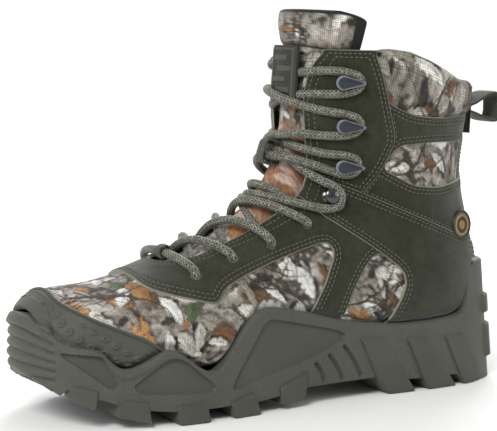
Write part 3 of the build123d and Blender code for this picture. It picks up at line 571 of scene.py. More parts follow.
def lug_block(outline, side):
    """A lug from the outside of the wall to the tread's middle groove, with eased edges."""
    ring = rounded(outline, 0.9, 1)
    depth = []
    for lift, inset in ((LUG_LIFT - 0.9, 0), (LUG_LIFT, 0.7)):
        drawn = ring.mean(0) + (ring - ring.mean(0)) * (1 - inset / 9)
        depth.append(wall(side_run_at(drawn[:, 0], side), drawn[:, 1], np.full(len(ring), lift)))
    middle = depth[0].copy()
    middle[:, 1] = side * 4.5
    middle[:, 0] = np.clip(middle[:, 0], -228, 50)
    centre = depth[1].mean(0, keepdims=True)
    n = len(ring)
    points = np.concatenate([middle, depth[0], depth[1], centre])
    k = np.arange(n)
    after = (k + 1) % n
    walls = [np.stack([a + k, a + after, b + after, b + k], 1) for a, b in ((0, n), (n, 2 * n))]
    quads = np.concatenate(walls)
    triangles = np.concatenate([quads[:, [0, 1, 2]], quads[:, [0, 2, 3]],
                                np.stack([2 * n + k, 2 * n + after, np.full(n, 3 * n)], 1)])
    return points, triangles if side < 0 else triangles[:, ::-1]


lug_points, lug_faces = joined([lug_block(outline, side) for outline in LUGS for side in (-1, 1)])
lugs = piece("tread_lugs", lug_points * MM, lug_faces, rubber, "rubber")
lugs.data.polygons.foreach_set("use_smooth", np.zeros(len(lug_faces), bool))
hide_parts("outsole")

# ---------------------------------------------------------------- printed cloth
# Plain-weave polyester, about 600 denier, with a leaf, bark and twig print in white, grey, brown and orange and
# a little green. It shows at the vamp, in the side windows, on the collar and on the tongue.
COLLAR_TOP = [(-130, 204), (-84, 204), (-75, 205), (-41, 204.5), (-23, 202), (-9, 197), (5, 191), (16, 186),
              (28, 183.5), (80, 183.5)]
THROAT_EDGE = [(160, 28), (135, 27.5), (121, 22), (108, 19.5), (95, 18.5), (77, 18.5), (66, 19), (54, 20),
               (34, 21.5),
               (-3, 21.5), (-61, 21), (-76, 18), (-83, 11), (-86, 0)]
LEAF_TINTS = [(0.60, 0.58, 0.53), (0.44, 0.42, 0.37), (0.72, 0.71, 0.67), (0.26, 0.235, 0.19),
              (0.34, 0.17, 0.065),
              (0.16, 0.085, 0.04), (0.50, 0.27, 0.11), (0.30, 0.29, 0.25), (0.66, 0.64, 0.58),
              (0.075, 0.105, 0.050)]
LEAF_ODDS = [5, 5, 5.5, 4.5, 3.2, 3.6, 1.6, 5, 5, 0.7]
PRINT_SHADE = 0.84
luck = np.random.default_rng(41)


def hashed(i, j, seed):
    """A steady random number from 0 to 1 for each lattice place."""
    return np.modf(np.abs(np.sin(i * 127.1 + j * 311.7 + seed * 74.7)) * 43758.5453)[0]


def soft_noise(p, q, size, seed):
    """Smooth noise from 0 to 1 on the flat cloth, size mm to a lump."""
    i, j = np.floor(p / size), np.floor(q / size)
    a, b = p / size - i, q / size - j
    a, b = a * a * (3 - 2 * a), b * b * (3 - 2 * b)
    low = hashed(i, j, seed) * (1 - a) + hashed(i + 1, j, seed) * a
    high = hashed(i, j + 1, seed) * (1 - a) + hashed(i + 1, j + 1, seed) * a
    return low * (1 - b) + high * b


def printed(p, q, leaves=520, twigs=80, size=0.85):
    """The print's colour at cloth places p and q, mm."""
    lumps = soft_noise(p, q, 17, 1) * 0.5 + soft_noise(p, q, 6, 2) * 0.3 + soft_noise(p, q, 2.2, 3) * 0.2
    streak = soft_noise(p * 0.25 + q * 0.2, q * 1.4 - p * 0.5, 2.6, 4)
    dark = eased(soft_noise(p + q * 0.4, q * 1.8, 7.5, 13) * 0.6 + soft_noise(p, q, 2.6, 14) * 0.4, 0.30,
                 0.56)
    colour = (np.array((0.060, 0.044, 0.030)) + (lumps * 0.7 + streak * 0.3)[:, None] ** 1.7
              * np.array((0.86, 0.80, 0.72))) * (0.16 + 0.84 * dark)[:, None]
    span_p, span_q = (p.min() - 20, p.max() + 20), (q.min() - 20, q.max() + 20)
    tints = luck.choice(len(LEAF_TINTS), leaves, p=np.array(LEAF_ODDS) / sum(LEAF_ODDS))
    for tint in tints:
        at_p, at_q = luck.uniform(*span_p), luck.uniform(*span_q)
        length, lean = luck.uniform(11, 30) * size, luck.uniform(0, math.pi) * 0.6 + 0.2
        width, lobes, phase = length * luck.uniform(0.10, 0.30), luck.integers(2, 6), luck.uniform(0, 6)
        near = np.flatnonzero((np.abs(p - at_p) < length) & (np.abs(q - at_q) < length))
        if not len(near):
            continue
        along = ((p[near] - at_p) * math.cos(lean) + (q[near] - at_q) * math.sin(lean)) / length
        side = ((q[near] - at_q) * math.cos(lean)
                - (p[near] - at_p) * math.sin(lean)) - length * 0.16 * along ** 2
        shape = np.clip(1 - (along * 2) ** 2, 0, 1) ** 0.7
        edge = width * shape * (0.72 + 0.28 * np.abs(np.sin(along * lobes * 3.1 + phase)))
        ragged = (soft_noise(p[near], q[near], 1.6, 7) - 0.5) * 1.6
        cover = eased(edge - np.abs(side) + ragged, -0.25, 0.45) * (shape > 0)
        vein = np.exp(-(side / 0.38) ** 2) + 0.5 * np.exp(-(((side * 0.9 - np.abs(along) * 9) % 3.4
                                                             - 1.7) / 0.35) ** 2)
        shade = 0.78 + 0.42 * soft_noise(p[near], q[near], 3.2, 5) - 0.30 * vein + 0.25 * (side > 0)
        shade *= 1 - 0.45 * eased(-(edge - np.abs(side)), -1.1, 0.1)
        leaf = np.array(LEAF_TINTS[tint]) * np.clip(shade, 0.15, 1.35)[:, None]
        shadow = 1 - 0.55 * eased(edge + 1.6 - np.abs(side + 0.9), 0, 1.6) * (shape > 0) * (1 - cover)
        colour[near] = colour[near] * shadow[:, None] * (1 - cover[:, None]) + leaf * cover[:, None]
    for _ in range(twigs):
        at_p, at_q = luck.uniform(*span_p), luck.uniform(*span_q)
        lean, length, bend = luck.uniform(-0.5, 1.3), luck.uniform(20, 62) * size, luck.uniform(-0.5, 0.5)
        for part in range(4):
            way = lean + (0 if part == 0 else luck.choice((-1, 1)) * luck.uniform(0.4, 0.9))
            reach, thick = (length, luck.uniform(0.5, 1.15)) if part == 0 else (length * 0.35, 0.4)
            shift = 0 if part == 0 else luck.uniform(-0.3, 0.4) * length
            from_p, from_q = at_p + shift * math.cos(lean), at_q + shift * math.sin(lean)
            near = np.flatnonzero((np.abs(p - from_p) < reach) & (np.abs(q - from_q) < reach))
            along = (p[near] - from_p) * math.cos(way) + (q[near] - from_q) * math.sin(way)
            side = (q[near] - from_q) * math.cos(way) - (p[near] - from_p) * math.sin(way)
            side = side - bend * along ** 2 / length + (soft_noise(along, along * 0, 4, part) - 0.5) * 1.3
            body = thick * np.clip(1.1 - np.abs(along) / reach * 1.1, 0, 1)
            cover = eased(body - np.abs(side), -0.22, 0.18) * (body > 0.05) * 0.9
            bark = np.array((0.035, 0.024, 0.016)) * (1 + 1.6 * (side > 0.1))[:, None]
            colour[near] = colour[near] * (1 - cover[:, None]) + bark * cover[:, None]
    return np.clip(PRINT_SHADE * colour * (0.70 + 0.60 * soft_noise(p, q, 0.9, 8))[:, None], 0.008, 0.7)


def cloth_finish(name, attribute="print", weave_gap_shade=0.66, depth=0.00030):
    """A woven finish over a printed colour, its threads running across the cloth's own places, with painted shade in
    the gaps between threads.
    """
    made, tree, shader, _ = finish_of(name, Roughness=0.85, Sheen_Weight=0.12, Specular_IOR_Level=0.2)
    places = node(tree, "UVMap").outputs[0]
    axes = node(tree, "SeparateXYZ", {0: places})
    turned = [maths(tree, "MULTIPLY_ADD", axes.outputs[0], 3300 * s,
                    maths(tree, "MULTIPLY", axes.outputs[1], 3300.0))
              for s in (1, -1)]
    warp, weft = (maths(tree, "SINE", value) for value in turned)
    over = maths(tree, "MULTIPLY", warp, weft)
    height = maths(tree, "MULTIPLY_ADD", over, 0.5, 0.5)
    image = node(tree, "Attribute", attribute_name=attribute).outputs["Color"]
    # Painted shade: the print is darkened in the gaps between threads and a little lighter on their crests.
    thread_gap_shade = ramp(tree, height, (0.0, 1 - weave_gap_shade), (0.55, 1.08))
    tree.links.new(mixed(tree, 1.0, image, thread_gap_shade, "MULTIPLY"), shader.inputs["Base Color"])
    relief(tree, shader, height, depth, 0.7)
    return made


def sliced(data, triangles, values, level):
    """Triangles cut along the line where point values pass a level; all of them are kept."""
    off = values - level
    off[np.abs(off) < 0.03] = 0
    side = np.sign(off).astype(int)[triangles]
    spread = side.max(1) - side.min(1)
    whole, cut = triangles[spread < 2], triangles[spread == 2]
    if not len(cut):
        return data, triangles, values
    signs = np.sign(off).astype(int)[cut]
    one_zero = (signs == 0).any(1)
    lone = np.where(one_zero, np.argmax(signs == 0, 1),
                    np.argmax(signs == -np.sign(signs.sum(1))[:, None], 1))
    a, b, c = (cut[np.arange(len(cut)), (lone + k) % 3] for k in (0, 1, 2))
    ends = np.concatenate([np.stack([b[one_zero], c[one_zero]], 1), np.stack([a[~one_zero], b[~one_zero]], 1),
                           np.stack([a[~one_zero], c[~one_zero]], 1)])
    ends.sort(1)
    edges, which = np.unique(ends, axis=0, return_inverse=True)
    which = which.ravel()
    share = (off[edges[:, 0]] / (off[edges[:, 0]] - off[edges[:, 1]]))[:, None]
    added = data[edges[:, 0]] * (1 - share) + data[edges[:, 1]] * share
    which = which + len(data)
    n, m = one_zero.sum(), (~one_zero).sum()
    bc, ab, ac = which[:n], which[n:n + m], which[n + m:]
    a0, b0, c0, a1, b1, c1 = a[one_zero], b[one_zero], c[one_zero], a[~one_zero], b[~one_zero], c[~one_zero]
    made = np.concatenate([np.stack(t, 1) for t in ((a0, b0, bc), (a0, bc, c0), (a1, ab, ac), (ab, b1, c1),
                                                    (ab, c1, ac))])
    return (np.concatenate([data, added]), np.concatenate([whole, made]),
            np.concatenate([np.where(off == 0, level, values), np.full(len(added), float(level))]))


def trimmed(data, triangles):
    """The same triangles with unused points left out."""
    used, again = np.unique(triangles, return_inverse=True)
    return data[used], again.reshape(triangles.shape)


def cut_panel(data, triangles, values, levels=(0,)):
    """The part of a surface where values are 0 or more, with lines of points along more levels."""
    near = (values[triangles].max(1) >= 0)
    triangles = triangles[near]
    for level in levels:
        data, triangles, values = sliced(data, triangles, values.copy(), level)
    keep = values[triangles].min(1) >= -1e-9
    both = np.c_[data, values]
    both, triangles = trimmed(both, triangles[keep])
    return both[:, :-1], triangles, both[:, -1]


def throat_gap(data):
    """How far points are outside the throat opening, mm; negative inside it."""
    q = data[:, 0] + data[:, 2]
    outline = [(a, b) for a, b in THROAT_EDGE] + [(a, -b) for a, b in THROAT_EDGE[-2::-1]]
    return np.where(data[:, 2] > 60, -inside(q, data[:, 1], rounded(outline, 4)), 50.0)


def region(data, outline, reach=3.0, passes=2):
    """How far points are inside a side-view outline, mm."""
    return inside(data[:, 0], data[:, 2], rounded(outline, reach, passes))


def tucked(data, values=None):
    """Draws a panel in where it goes down behind the sole's wall."""
    return -2.6 * (1 - eased(above_rim(data), -0.5, 5.0))


cloth = cloth_finish("camo_fabric")


def camo_panel(name, data, triangles, values, lift, puff=None, levels=(0,), **more):
    """A panel of printed cloth on the upper's surface, lift mm above it."""
    data, triangles, values = cut_panel(data, triangles, values, levels)
    rise = lift + (puff(data, values) if puff else 0)
    points = data[:, 0:3] + data[:, 3:6] * np.asarray(rise).reshape(-1, 1)
    return piece(name, points * MM, triangles, cloth, "camo_fabric", uv=data[:, 6:8] * MM,
                 values={"print": printed(data[:, 6], data[:, 7], **more)})


GUARD = [(-300, 20), (-300, 110), (-236, 110), (-232.5, 74), (-234, 70), (-235, 67), (-221, 59), (-204, 52),
         (-194, 48),
         (-186, 42), (-179, 35), (-170, 20)]
EYESTAY = [(-230, 150), (-196, 110), (-187.5, 84), (-188, 77), (-185, 72), (-174, 69), (-152, 64),
           (-149, 65), (-144, 71),
           (-132, 76), (-111, 83), (-90, 89), (-75, 93), (-70, 91.5), (-68, 86), (-77, 69), (-88, 54),
           (-96, 30),
           (-52, 30), (-30, 95), (-60, 160)]
WINDOW_LOW = [(-74, 30), (-66, 49), (-58, 64), (-49, 77), (-41, 84.5), (-37, 84), (-24, 75), (-20, 68),
              (-22, 60), (-33, 42),
              (-40, 30)]
FRONT_BIT = [(-290, 20), (-290, 120), (-150, 150), (-60, 110), (-60, 20)]
vamp_data, vamp_triangles = patch(0.02, 5.1, -2.75, 2.75, 0.62)
vamp_in = np.minimum.reduce([
    above_rim(vamp_data) + 3.5, 2.5 - region(vamp_data, EYESTAY), region(vamp_data, FRONT_BIT),
    throat_gap(vamp_data), 5 - region(vamp_data, GUARD)])
vamp = camo_panel("vamp_cloth", vamp_data, vamp_triangles, vamp_in, -0.3, tucked)
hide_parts("vamp")
for side, low, high in (("lateral", 0.4, 2.9), ("medial", -2.9, -0.4)):
    data, triangles = patch(3.2, 6.4, low, high, 0.62)
    window = camo_panel("side_window_cloth_" + side, data, triangles, np.minimum(
        region(data, WINDOW_LOW) + 2.5, above_rim(data) + 3.5), -0.3, tucked, leaves=120, twigs=22)
    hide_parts("side_window_" + side)
for side, low, high in (("lateral", 0.4, 3.1), ("medial", -3.1, -0.4)):
    data, triangles = patch(6.2, 8.6, low, high, 0.62)
    window = camo_panel("ankle_window_cloth_" + side, data, triangles, region(
        data, [(-42, 128), (-36, 139), (-29, 152), (36, 153), (38, 118), (-16, 119)]), -0.6, leaves=70,
        twigs=26)
    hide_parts("ankle_window_" + side)

# ---------------------------------------------------------------- suede panels
# Split suede, 1.4 mm, dark olive with a short nap and pale cut edges, laid over the cloth in one plane each:
# eyestay, heel overlay, ankle band and the two flaps that carry the hooks. Sewn with twin rows of heavy thread.
LINE_ONE = [(-86, 134), (-80, 132), (-66, 128), (-48, 121), (-25, 111), (6, 98), (29, 88), (44, 84), (80, 76)]
LINE_TWO = [(-90, 122), (-84, 119), (-73, 108), (-51, 94), (-39, 86), (-24, 75), (-20, 68), (-22, 60),
            (-33, 42), (-38, 26)]
WINDOW_HIGH = [(-37, 135), (-28, 148.5), (-6, 149.5), (27, 149), (31, 126), (2, 122), (-16, 124)]
BAND_TOP = [(-130, 190), (-40, 180), (-35, 173), (-19, 166), (-1, 164), (80, 166)]
FLAP_REAR = [(-48, 119), (-37, 134), (-30, 152), (-33, 163), (-36, 174), (-41, 192), (-46, 205)]
SEAM_ROWS, STITCH_PITCH, STITCH_LENGTH, STITCH_RADIUS = (2.0, 4.2), 2.9, 2.15, 0.36

suede, tree, shader, places = finish_of("suede", Roughness=0.95, Sheen_Weight=0.35, Sheen_Roughness=0.5,
                                        Specular_IOR_Level=0.1)
nap = noise(tree, places, 260, 5, 0.7)
blotch = noise(tree, places, 38, 4, 0.6)
tone = maths(tree, "MULTIPLY_ADD", nap, 0.6, maths(tree, "MULTIPLY", blotch, 0.4))
skin_colour = ramp(tree, tone, (0.3, (0.0095, 0.0110, 0.0050)), (0.72, (0.032, 0.035, 0.019)))
cut_edge = node(tree, "Attribute", attribute_name="edge").outputs["Fac"]
tree.links.new(mixed(tree, cut_edge, skin_colour, (0.20, 0.195, 0.145, 1)), shader.inputs["Base Color"])
relief(tree, shader, noise(tree, places, 900, 3, 0.8), 0.00025, 0.8)
thread, tree, shader, places = finish_of("thread", Base_Color=(0.085, 0.086, 0.064), Roughness=0.6)


def overlay(name, data, triangles, values, base, thickness, finish, slot, pattern=None, body="root"):
    """A cut panel of thick sheet lying base mm off the upper, with a rounded top edge and a cut side."""
    data, triangles, values = cut_panel(data, triangles, values, (0, 0.3, 0.9))
    profile = np.interp(values, (0, 0.3, 0.9), (0.72, 0.93, 1))
    rise = base + thickness * profile + (pattern(data, values) if pattern else 0)
    points = data[:, 0:3] + data[:, 3:6] * np.asarray(rise).reshape(-1, 1)
    pairs = np.concatenate([triangles[:, [0, 1]], triangles[:, [1, 2]], triangles[:, [2, 0]]])
    order = np.sort(pairs, 1)
    _, first, count = np.unique(order, axis=0, return_index=True, return_counts=True)
    rim = pairs[first[count == 1]]
    rim_points, again = np.unique(rim, return_inverse=True)
    again = again.reshape(rim.shape) + len(points)
    below = data[rim_points, 0:3] + data[rim_points, 3:6] * (base - 0.7)
    skirt = np.concatenate([np.stack([rim[:, 1], rim[:, 0], again[:, 0]], 1),
                            np.stack([rim[:, 1], again[:, 0], again[:, 1]], 1)])
    edge = np.concatenate([1 - eased(values, 0.05, 0.42), np.ones(len(rim_points))])
    made = piece(name, np.concatenate([points, below]) * MM, np.concatenate([triangles, skirt]), finish, slot,
                 body=body, values={"edge": edge})
    return made, data, triangles, values


def contours(data, triangles, values, level):
    """Runs of (point, normal) rows along the line where values pass a level."""
    above = values[triangles] > level
    crossed = triangles[(above.any(1)) & (~above.all(1))]
    links, rows = {}, {}
    for corners in crossed.tolist():
        ends = []
        for i, j in ((0, 1), (1, 2), (2, 0)):
            a, b = sorted((corners[i], corners[j]))
            if (values[a] > level) != (values[b] > level):
                if (a, b) not in rows:
                    share = (level - values[a]) / (values[b] - values[a])
                    rows[a, b] = data[a, 0:6] * (1 - share) + data[b, 0:6] * share
                ends.append((a, b))
        links.setdefault(ends[0], []).append(ends[1])
        links.setdefault(ends[1], []).append(ends[0])
    runs, done = [], set()
    for start in sorted(links, key=lambda key: len(links[key])):
        if start in done:
            continue
        run, at = [start], start
        done.add(start)
        while True:
            onward = [key for key in links[at] if key not in done]
            if not onward:
                break
            at = onward[0]
            done.add(at)
            run.append(at)
        if len(run) > 8:
            runs.append(np.array([rows[key] for key in run]))
    return runs


def stitches(name, runs, lift, keep, body="root"):
    """Rows of separate thread stitches along runs of (point, normal), where keep(points) holds."""
    sides, rings = 6, 5
    turn = np.linspace(0, 2 * math.pi, sides, endpoint=False)
    way = np.linspace(-1, 1, rings)
    girth = STITCH_RADIUS * np.sqrt(np.clip(1.06 - way ** 4, 0.05, 1))
    all_points = []
    for run in runs:
        length = run_of(run[:, 0:3])
        middles = np.arange(STITCH_PITCH / 2, length[-1], STITCH_PITCH)
        if not len(middles):
            continue
        at = np.stack([np.interp(middles, length, run[:, k]) for k in range(6)], 1)
        ahead = np.stack([np.interp(middles + 0.6, length, run[:, k]) for k in range(3)], 1)
        behind = np.stack([np.interp(middles - 0.6, length, run[:, k]) for k in range(3)], 1)
        forward = ahead - behind
        forward /= np.linalg.norm(forward, axis=1)[:, None] + 1e-9
        good = keep(at[:, 0:3])
        at, forward = at[good], forward[good]
        up = at[:, 3:6] / np.linalg.norm(at[:, 3:6], axis=1)[:, None]
        across = np.cross(forward, up)
        centre = (at[:, None, 0:3] + forward[:, None] * (way * STITCH_LENGTH / 2)[None, :, None]
                  + up[:, None] * (lift + 0.14 - 0.34 * way ** 4)[None, :, None])
        ring = (across[:, None, None] * np.cos(turn)[None, None, :, None]
                + up[:, None, None] * np.sin(turn)[None, None, :, None])
        all_points.append((centre[:, :, None] + ring * girth[None, :, None, None]).reshape(-1, 3))
    points = np.concatenate(all_points)
    one = grid_faces(rings, sides, closed=True)
    count = len(points) // (sides * rings)
    faces = (one[None] + (np.arange(count) * sides * rings)[:, None, None]).reshape(-1, 4)
    return piece(name, points * MM, faces, thread, "webbing", body=body)


def nap_waves(data, values):
    """A soft, uneven surface, with the groove a row of stitches pulls in."""
    waves = (soft_noise(data[:, 6], data[:, 7], 9, 11) - 0.5) * 0.5
    for row in SEAM_ROWS:
        waves -= 0.22 * np.exp(-((values - row) / 0.7) ** 2)
    return waves


around_back = (0.3, 2 * math.pi - 0.3)
seams = []
fit, triangles = patch(1.1, 6.6, -2.8, 2.8, 0.72)
fit_in = np.minimum.reduce([region(fit, EYESTAY), throat_gap(fit), -region(fit, WINDOW_LOW),
                            above_rim(fit) + 3])
outline_only = fit_in
eyelets = [(-157, 32.5, 78), (-132.5, 30, 86), (-107.5, 30, 93), (-83, 28.4, 103.5)]
for x, y, z in eyelets:
    for side in (-1, 1):
        fit_in = np.minimum(fit_in, np.linalg.norm(fit[:, 0:3] - (x, side * y, z), axis=1) - 2.9)
overlay("eyestay_suede", fit, triangles, fit_in, 0, 1.3, suede, "suede", lambda d,
        v: nap_waves(d, v) + tucked(d))
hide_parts("eyestay")
seams += [(run, 1.25) for row in SEAM_ROWS for run in contours(fit, triangles, outline_only, row)]

fit, triangles = patch(3.6, 8.0, *around_back, 0.72)
HEEL = LINE_ONE + [(80, 20)] + LINE_TWO[::-1]
_, *cut = overlay("heel_suede", fit, triangles, np.minimum.reduce(
    [region(fit, HEEL), throat_gap(fit), above_rim(fit) + 3]), 0.9, 1.4, suede, "suede",
    lambda d, v: nap_waves(d, v) + tucked(d))
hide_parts("heel_overlay")
seams += [(run, 2.25) for row in SEAM_ROWS for run in contours(*cut, row)]

fit, triangles = patch(5.5, 9.6, *around_back, 0.72)
band_in = np.minimum.reduce([-region(fit, LINE_ONE + [(80, 0), (-290, 0), (-290, 134)]) + 3,
                             -region(fit, BAND_TOP + [(80, 300), (-130, 300)]),
                             -region(fit, WINDOW_HIGH),
                             region(fit, FLAP_REAR + [(90, 210), (90, 60), (-40, 60)]) + 3])
_, *cut = overlay("ankle_suede", fit, triangles, band_in, 0, 1.3, suede, "suede", nap_waves)
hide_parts("ankle_band")
seams += [(run, 1.25) for row in SEAM_ROWS for run in contours(*cut, row)]

for side, low, high in (("lateral", 0.2, 2.2), ("medial", -2.2, -0.2)):
    fit, triangles = patch(5.2, 9.9, low, high, 0.72)
    flap_in = np.minimum.reduce([-region(fit, FLAP_REAR + [(90, 205), (90, 60), (-40, 60)]), throat_gap(fit),
                                 -region(fit, LINE_ONE + [(80, 0), (-290, 0), (-290, 134)]) + 2,
                                 region(fit, COLLAR_TOP + [(80, 60), (-130, 60)])])
    _, *cut = overlay("hook_flap_suede_" + side, fit, triangles, flap_in, 0.8, 1.4, suede, "suede", nap_waves)
    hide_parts("hook_flap_" + side)
    seams += [(run, 2.15) for row in SEAM_ROWS for run in contours(*cut, row)]

lifted = []
for run, lift in seams:
    lifted.append(np.c_[run[:, 0:3] + run[:, 3:6] * lift, run[:, 3:6]])
stitches("suede_stitches", lifted, 0.0, lambda p: p[:, 2] > rim_height(p[:, 0]) + 2.5)

# ---------------------------------------------------------------- toe guard
# A moulded rubber cap over the toe with rows of small ringed studs and a double piping along its border, glued
# on the vamp and held under the sole's rim. A smooth raised patch sits at the front.
STUD_GAP, STUD_ROW, STUD_RADIUS = 9.6, 3.8, 1.7


def guard_face(data, values):
    """Height of the guard's piping, studs and front patch, mm."""
    border = region(data, GUARD)
    piping = 0.85 * np.exp(-((border - 1.1) / 0.75) ** 2) + 0.6 * np.exp(-((border - 3.2) / 0.8) ** 2)
    piping -= 0.9 * np.exp(-((border - 2.15) / 0.4) ** 2)
    row = np.round((data[:, 2] - 38) / STUD_ROW)
    run = np.hypot(data[:, 0] + 247, data[:, 1])
    place = run / STUD_GAP + 0.5 * (row % 2)
    off = np.hypot((place - np.round(place)) * STUD_GAP, data[:, 2] - 38 - row * STUD_ROW)
    ring = eased(STUD_RADIUS + 0.35 - off, 0, 0.6) - 0.75 * eased(0.75 - off, 0, 0.5)
    centre_in = border - np.abs(off) * 0.4
    where = eased(centre_in, 5.2, 5.6) * eased(data[:, 0], -242.0, -241.0)
    patch_edge = 0.5 * (1 - eased(data[:, 0], -241.5, -240.9))
    return piping + 1.0 * ring * where + patch_edge + tucked(data) * 0.8


fit, triangles = patch(0.0, 2.7, -2.75, 2.75, 0.5)
guard, *_ = overlay("toe_guard_rubber", fit, triangles, np.minimum(region(fit, GUARD), above_rim(fit) + 6),
                    0, 1.9, rubber, "rubber", guard_face)
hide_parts("toe_guard")

# ---------------------------------------------------------------- collar and lining
# A foam collar covered in printed cloth, rolled over at its top edge, and a black spacer-mesh sock inside the whole
# boot. The collar is sewn under the flaps and the ankle band.
ROLL_RADIUS, COLLAR_COLUMNS, COLLAR_ROWS = 4.2, 420, 90
SHAFT_U = np.linspace(5.0, 10.0, 160)

mesh_finish, tree, shader, places = finish_of("lining_mesh", Roughness=0.9, Specular_IOR_Level=0.15)
holes = node(tree, "TexVoronoi", {"Vector": places, "Scale": 480.0}).outputs["Distance"]
# Painted shade: the holes are near black, and the threads between them are lighter.
tree.links.new(ramp(tree, holes, (0.15, (0.004, 0.004, 0.004)), (0.55, (0.030, 0.030, 0.031))),
               shader.inputs["Base Color"])
relief(tree, shader, holes, 0.0006, 0.8)

turns = np.linspace(0.42, 2 * math.pi - 0.42, COLLAR_COLUMNS)
shaft, _ = bare(SHAFT_U[:, None] + 0 * turns, turns + 0 * SHAFT_U[:, None])
top_u, low_u = np.empty(COLLAR_COLUMNS), np.empty(COLLAR_COLUMNS)
top_x, top_z = np.array(COLLAR_TOP, float)[1:].T
band_x, band_z = np.array(BAND_TOP, float)[1:].T
for column in range(COLLAR_COLUMNS):
    x, z = shaft[:, column, 0], shaft[:, column, 2]
    top_u[column] = np.interp(0, z - np.interp(x, top_x, top_z) + ROLL_RADIUS - 1.2, SHAFT_U)
    low_u[column] = np.interp(0, z - np.interp(x, band_x, band_z) + 3.5, SHAFT_U)
share = np.linspace(0, 1, COLLAR_ROWS)[:, None]
u = low_u * (1 - share) + top_u * share
t = turns + 0 * u
points, normals = upper(u, t)
behind_flap = eased(-inside(points[..., 0], points[..., 2],
                            [(-200, 260)] + [(-200, 60), (-48, 60)] + FLAP_REAR + [(-46, 260)]), -3, 9)
height = run_of(points[:, COLLAR_COLUMNS // 2])[:, None]
pucker = (soft_noise(turns * 44 + 0 * u, height * 0.16 + 0 * u, 3.4, 21)
          - 0.5) + 0.6 * (soft_noise(turns * 44 + 0 * u, height * 0.3 + 0 * u, 7.5, 22) - 0.5)
creases = eased(-height, -14, -1) + 0.35 * eased(height, height.max() - 16, height.max())
puff = (-1.2 + behind_flap * (3.9 * eased(height, 0, 9) + 1.5 * pucker * creases + 0.5 * pucker)
        * (1 - 0.25 * eased(height, height.max() - 9, height.max())))
outer = points + normals * puff[..., None]
up = points[-1] - points[-6]
up /= np.linalg.norm(up, axis=-1)[:, None]
top_puff, roll_radius = puff[-1][:, None], ROLL_RADIUS * (0.55 + 0.45 * behind_flap[-1])[:, None]
roll = [points[-1] + normals[-1] * (top_puff - roll_radius * (1 - math.cos(a)))
        + up * roll_radius * math.sin(a)
        for a in np.linspace(0, math.pi * 0.62, 13)[1:]]
inner = [points[-1] + normals[-1] * (top_puff - roll_radius * (1 - math.cos(a)))
         + up * roll_radius * math.sin(a)
         for a in np.linspace(math.pi * 0.62, math.pi, 8)]
down = np.linspace(0, 1, 60)[1:, None]
deep = top_u * (1 - down) + 5.2 * down
wall_points, wall_normals = upper(deep, turns + 0 * deep)
sink = (top_puff.T - 2 * roll_radius.T) * (1 - eased(down, 0, 0.25)) - 8.0 * eased(down, 0, 0.25)
inner = np.concatenate([np.stack(inner), wall_points + wall_normals * sink[..., None]])
cover = np.concatenate([outer, np.stack(roll)])
around = turns * 46 + 0 * cover[..., 0]
along = run_of(cover[:, COLLAR_COLUMNS // 2])[:, None] + 0 * around
collar = piece("collar_cloth", cover.reshape(-1, 3) * MM, grid_faces(len(cover), COLLAR_COLUMNS), cloth,
               "camo_fabric",
               uv=np.c_[along.ravel(), around.ravel()] * MM,
               values={"print": printed(along.ravel() * 0.9, around.ravel() * 1.2, leaves=150, twigs=40)})
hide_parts("collar_camo", "collar_foam")
lining = piece("lining_sock", inner.reshape(-1, 3) * MM, grid_faces(len(inner), COLLAR_COLUMNS),
               mesh_finish, "lining_mesh")
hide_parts("lining")
foot, triangles = patch(0.4, 6.2, -math.pi, math.pi, 1.6)
foot, triangles, _ = cut_panel(foot, triangles, np.minimum(throat_gap(foot), 60) - 1)
foot_lining = piece("foot_lining", (foot[:, 0:3] - foot[:, 3:6] * 8.4) * MM, triangles, mesh_finish,
                    "lining_mesh")
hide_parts("lining")

# ---------------------------------------------------------------- tongue
# A padded tongue, 5 mm, in printed cloth with black bindings, sewn in at the bottom of the throat. Its top above the
# seam at the collar stands forward, free of the collar.
TONGUE_ROWS, TONGUE_RING, TONGUE_SEAM = 240, 150, 208
TONGUE_TURN = [(2.7, 0.42), (3.6, 0.55), (5.2, 0.80), (8.0, 0.93), (9.3, 1.00), (10.6, 1.04)]
u = np.concatenate([np.linspace(2.75, 10.42, TONGUE_ROWS - 12),
                    10.42 + 0.06 * np.sin(np.linspace(0.1, 1.5, 12))])
ring = np.linspace(0, 2 * math.pi, TONGUE_RING, endpoint=False)
half = np.interp(u, *np.array(TONGUE_TURN).T)[:, None]
half = half * (1 - 0.30 * ((u[:, None] - 10.12).clip(0) / 0.36) ** 2.2)
turn = half * np.sign(np.cos(ring)) * np.abs(np.cos(ring)) ** 0.8
thick = np.sin(ring) * (0.35 + 0.65 * np.abs(np.sin(ring)) ** 0.4)
body_u = np.minimum(u, 9.98)[:, None] + 0 * turn
middle, normals = upper(body_u, turn)
low_end, _ = upper(body_u - 0.25, turn)
middle = middle + (middle - low_end) / 0.25 * (u - np.minimum(u, 9.98))[:, None, None]
height = middle[:, :1, 2] + 0 * u[:, None]
front_z = middle[:, TONGUE_RING // 4, 2][:, None]
flare = eased(front_z, 196, 224)
closing = np.sqrt(np.clip(1 - ((u - 10.28) / 0.205).clip(0, 1) ** 2, 0.0, 1))[:, None]
wrap = np.abs(turn / half)
quilt = 1 - 0.45 * np.exp(-((front_z - TONGUE_SEAM) / 1.6) ** 2) - 0.25 * np.exp(-((wrap - 0.86) / 0.05) ** 2)
ripple = 0.5 * (soft_noise(turn * 40, front_z + 0 * turn, 7, 31) - 0.5)
depth = (2.5 + 0.8 * flare) * thick * closing * quilt + ripple * (thick > 0)
lift = -7.4 * (1 - flare) - 2.4 * flare - 1.6 * wrap ** 2 * (1 - flare) + depth
tongue_points = middle + normals * lift[..., None]
along = run_of(tongue_points[:, TONGUE_RING // 4])[:, None] + 0 * turn
flat_turn = turn * 42
tint = printed(along.ravel() * 1.1, flat_turn.ravel() * 1.1 + 400, leaves=150,
               twigs=30).reshape(*turn.shape, 3)
warm = (eased(front_z, 104, 112) * (1 - eased(front_z, 160, 166)))[..., None]
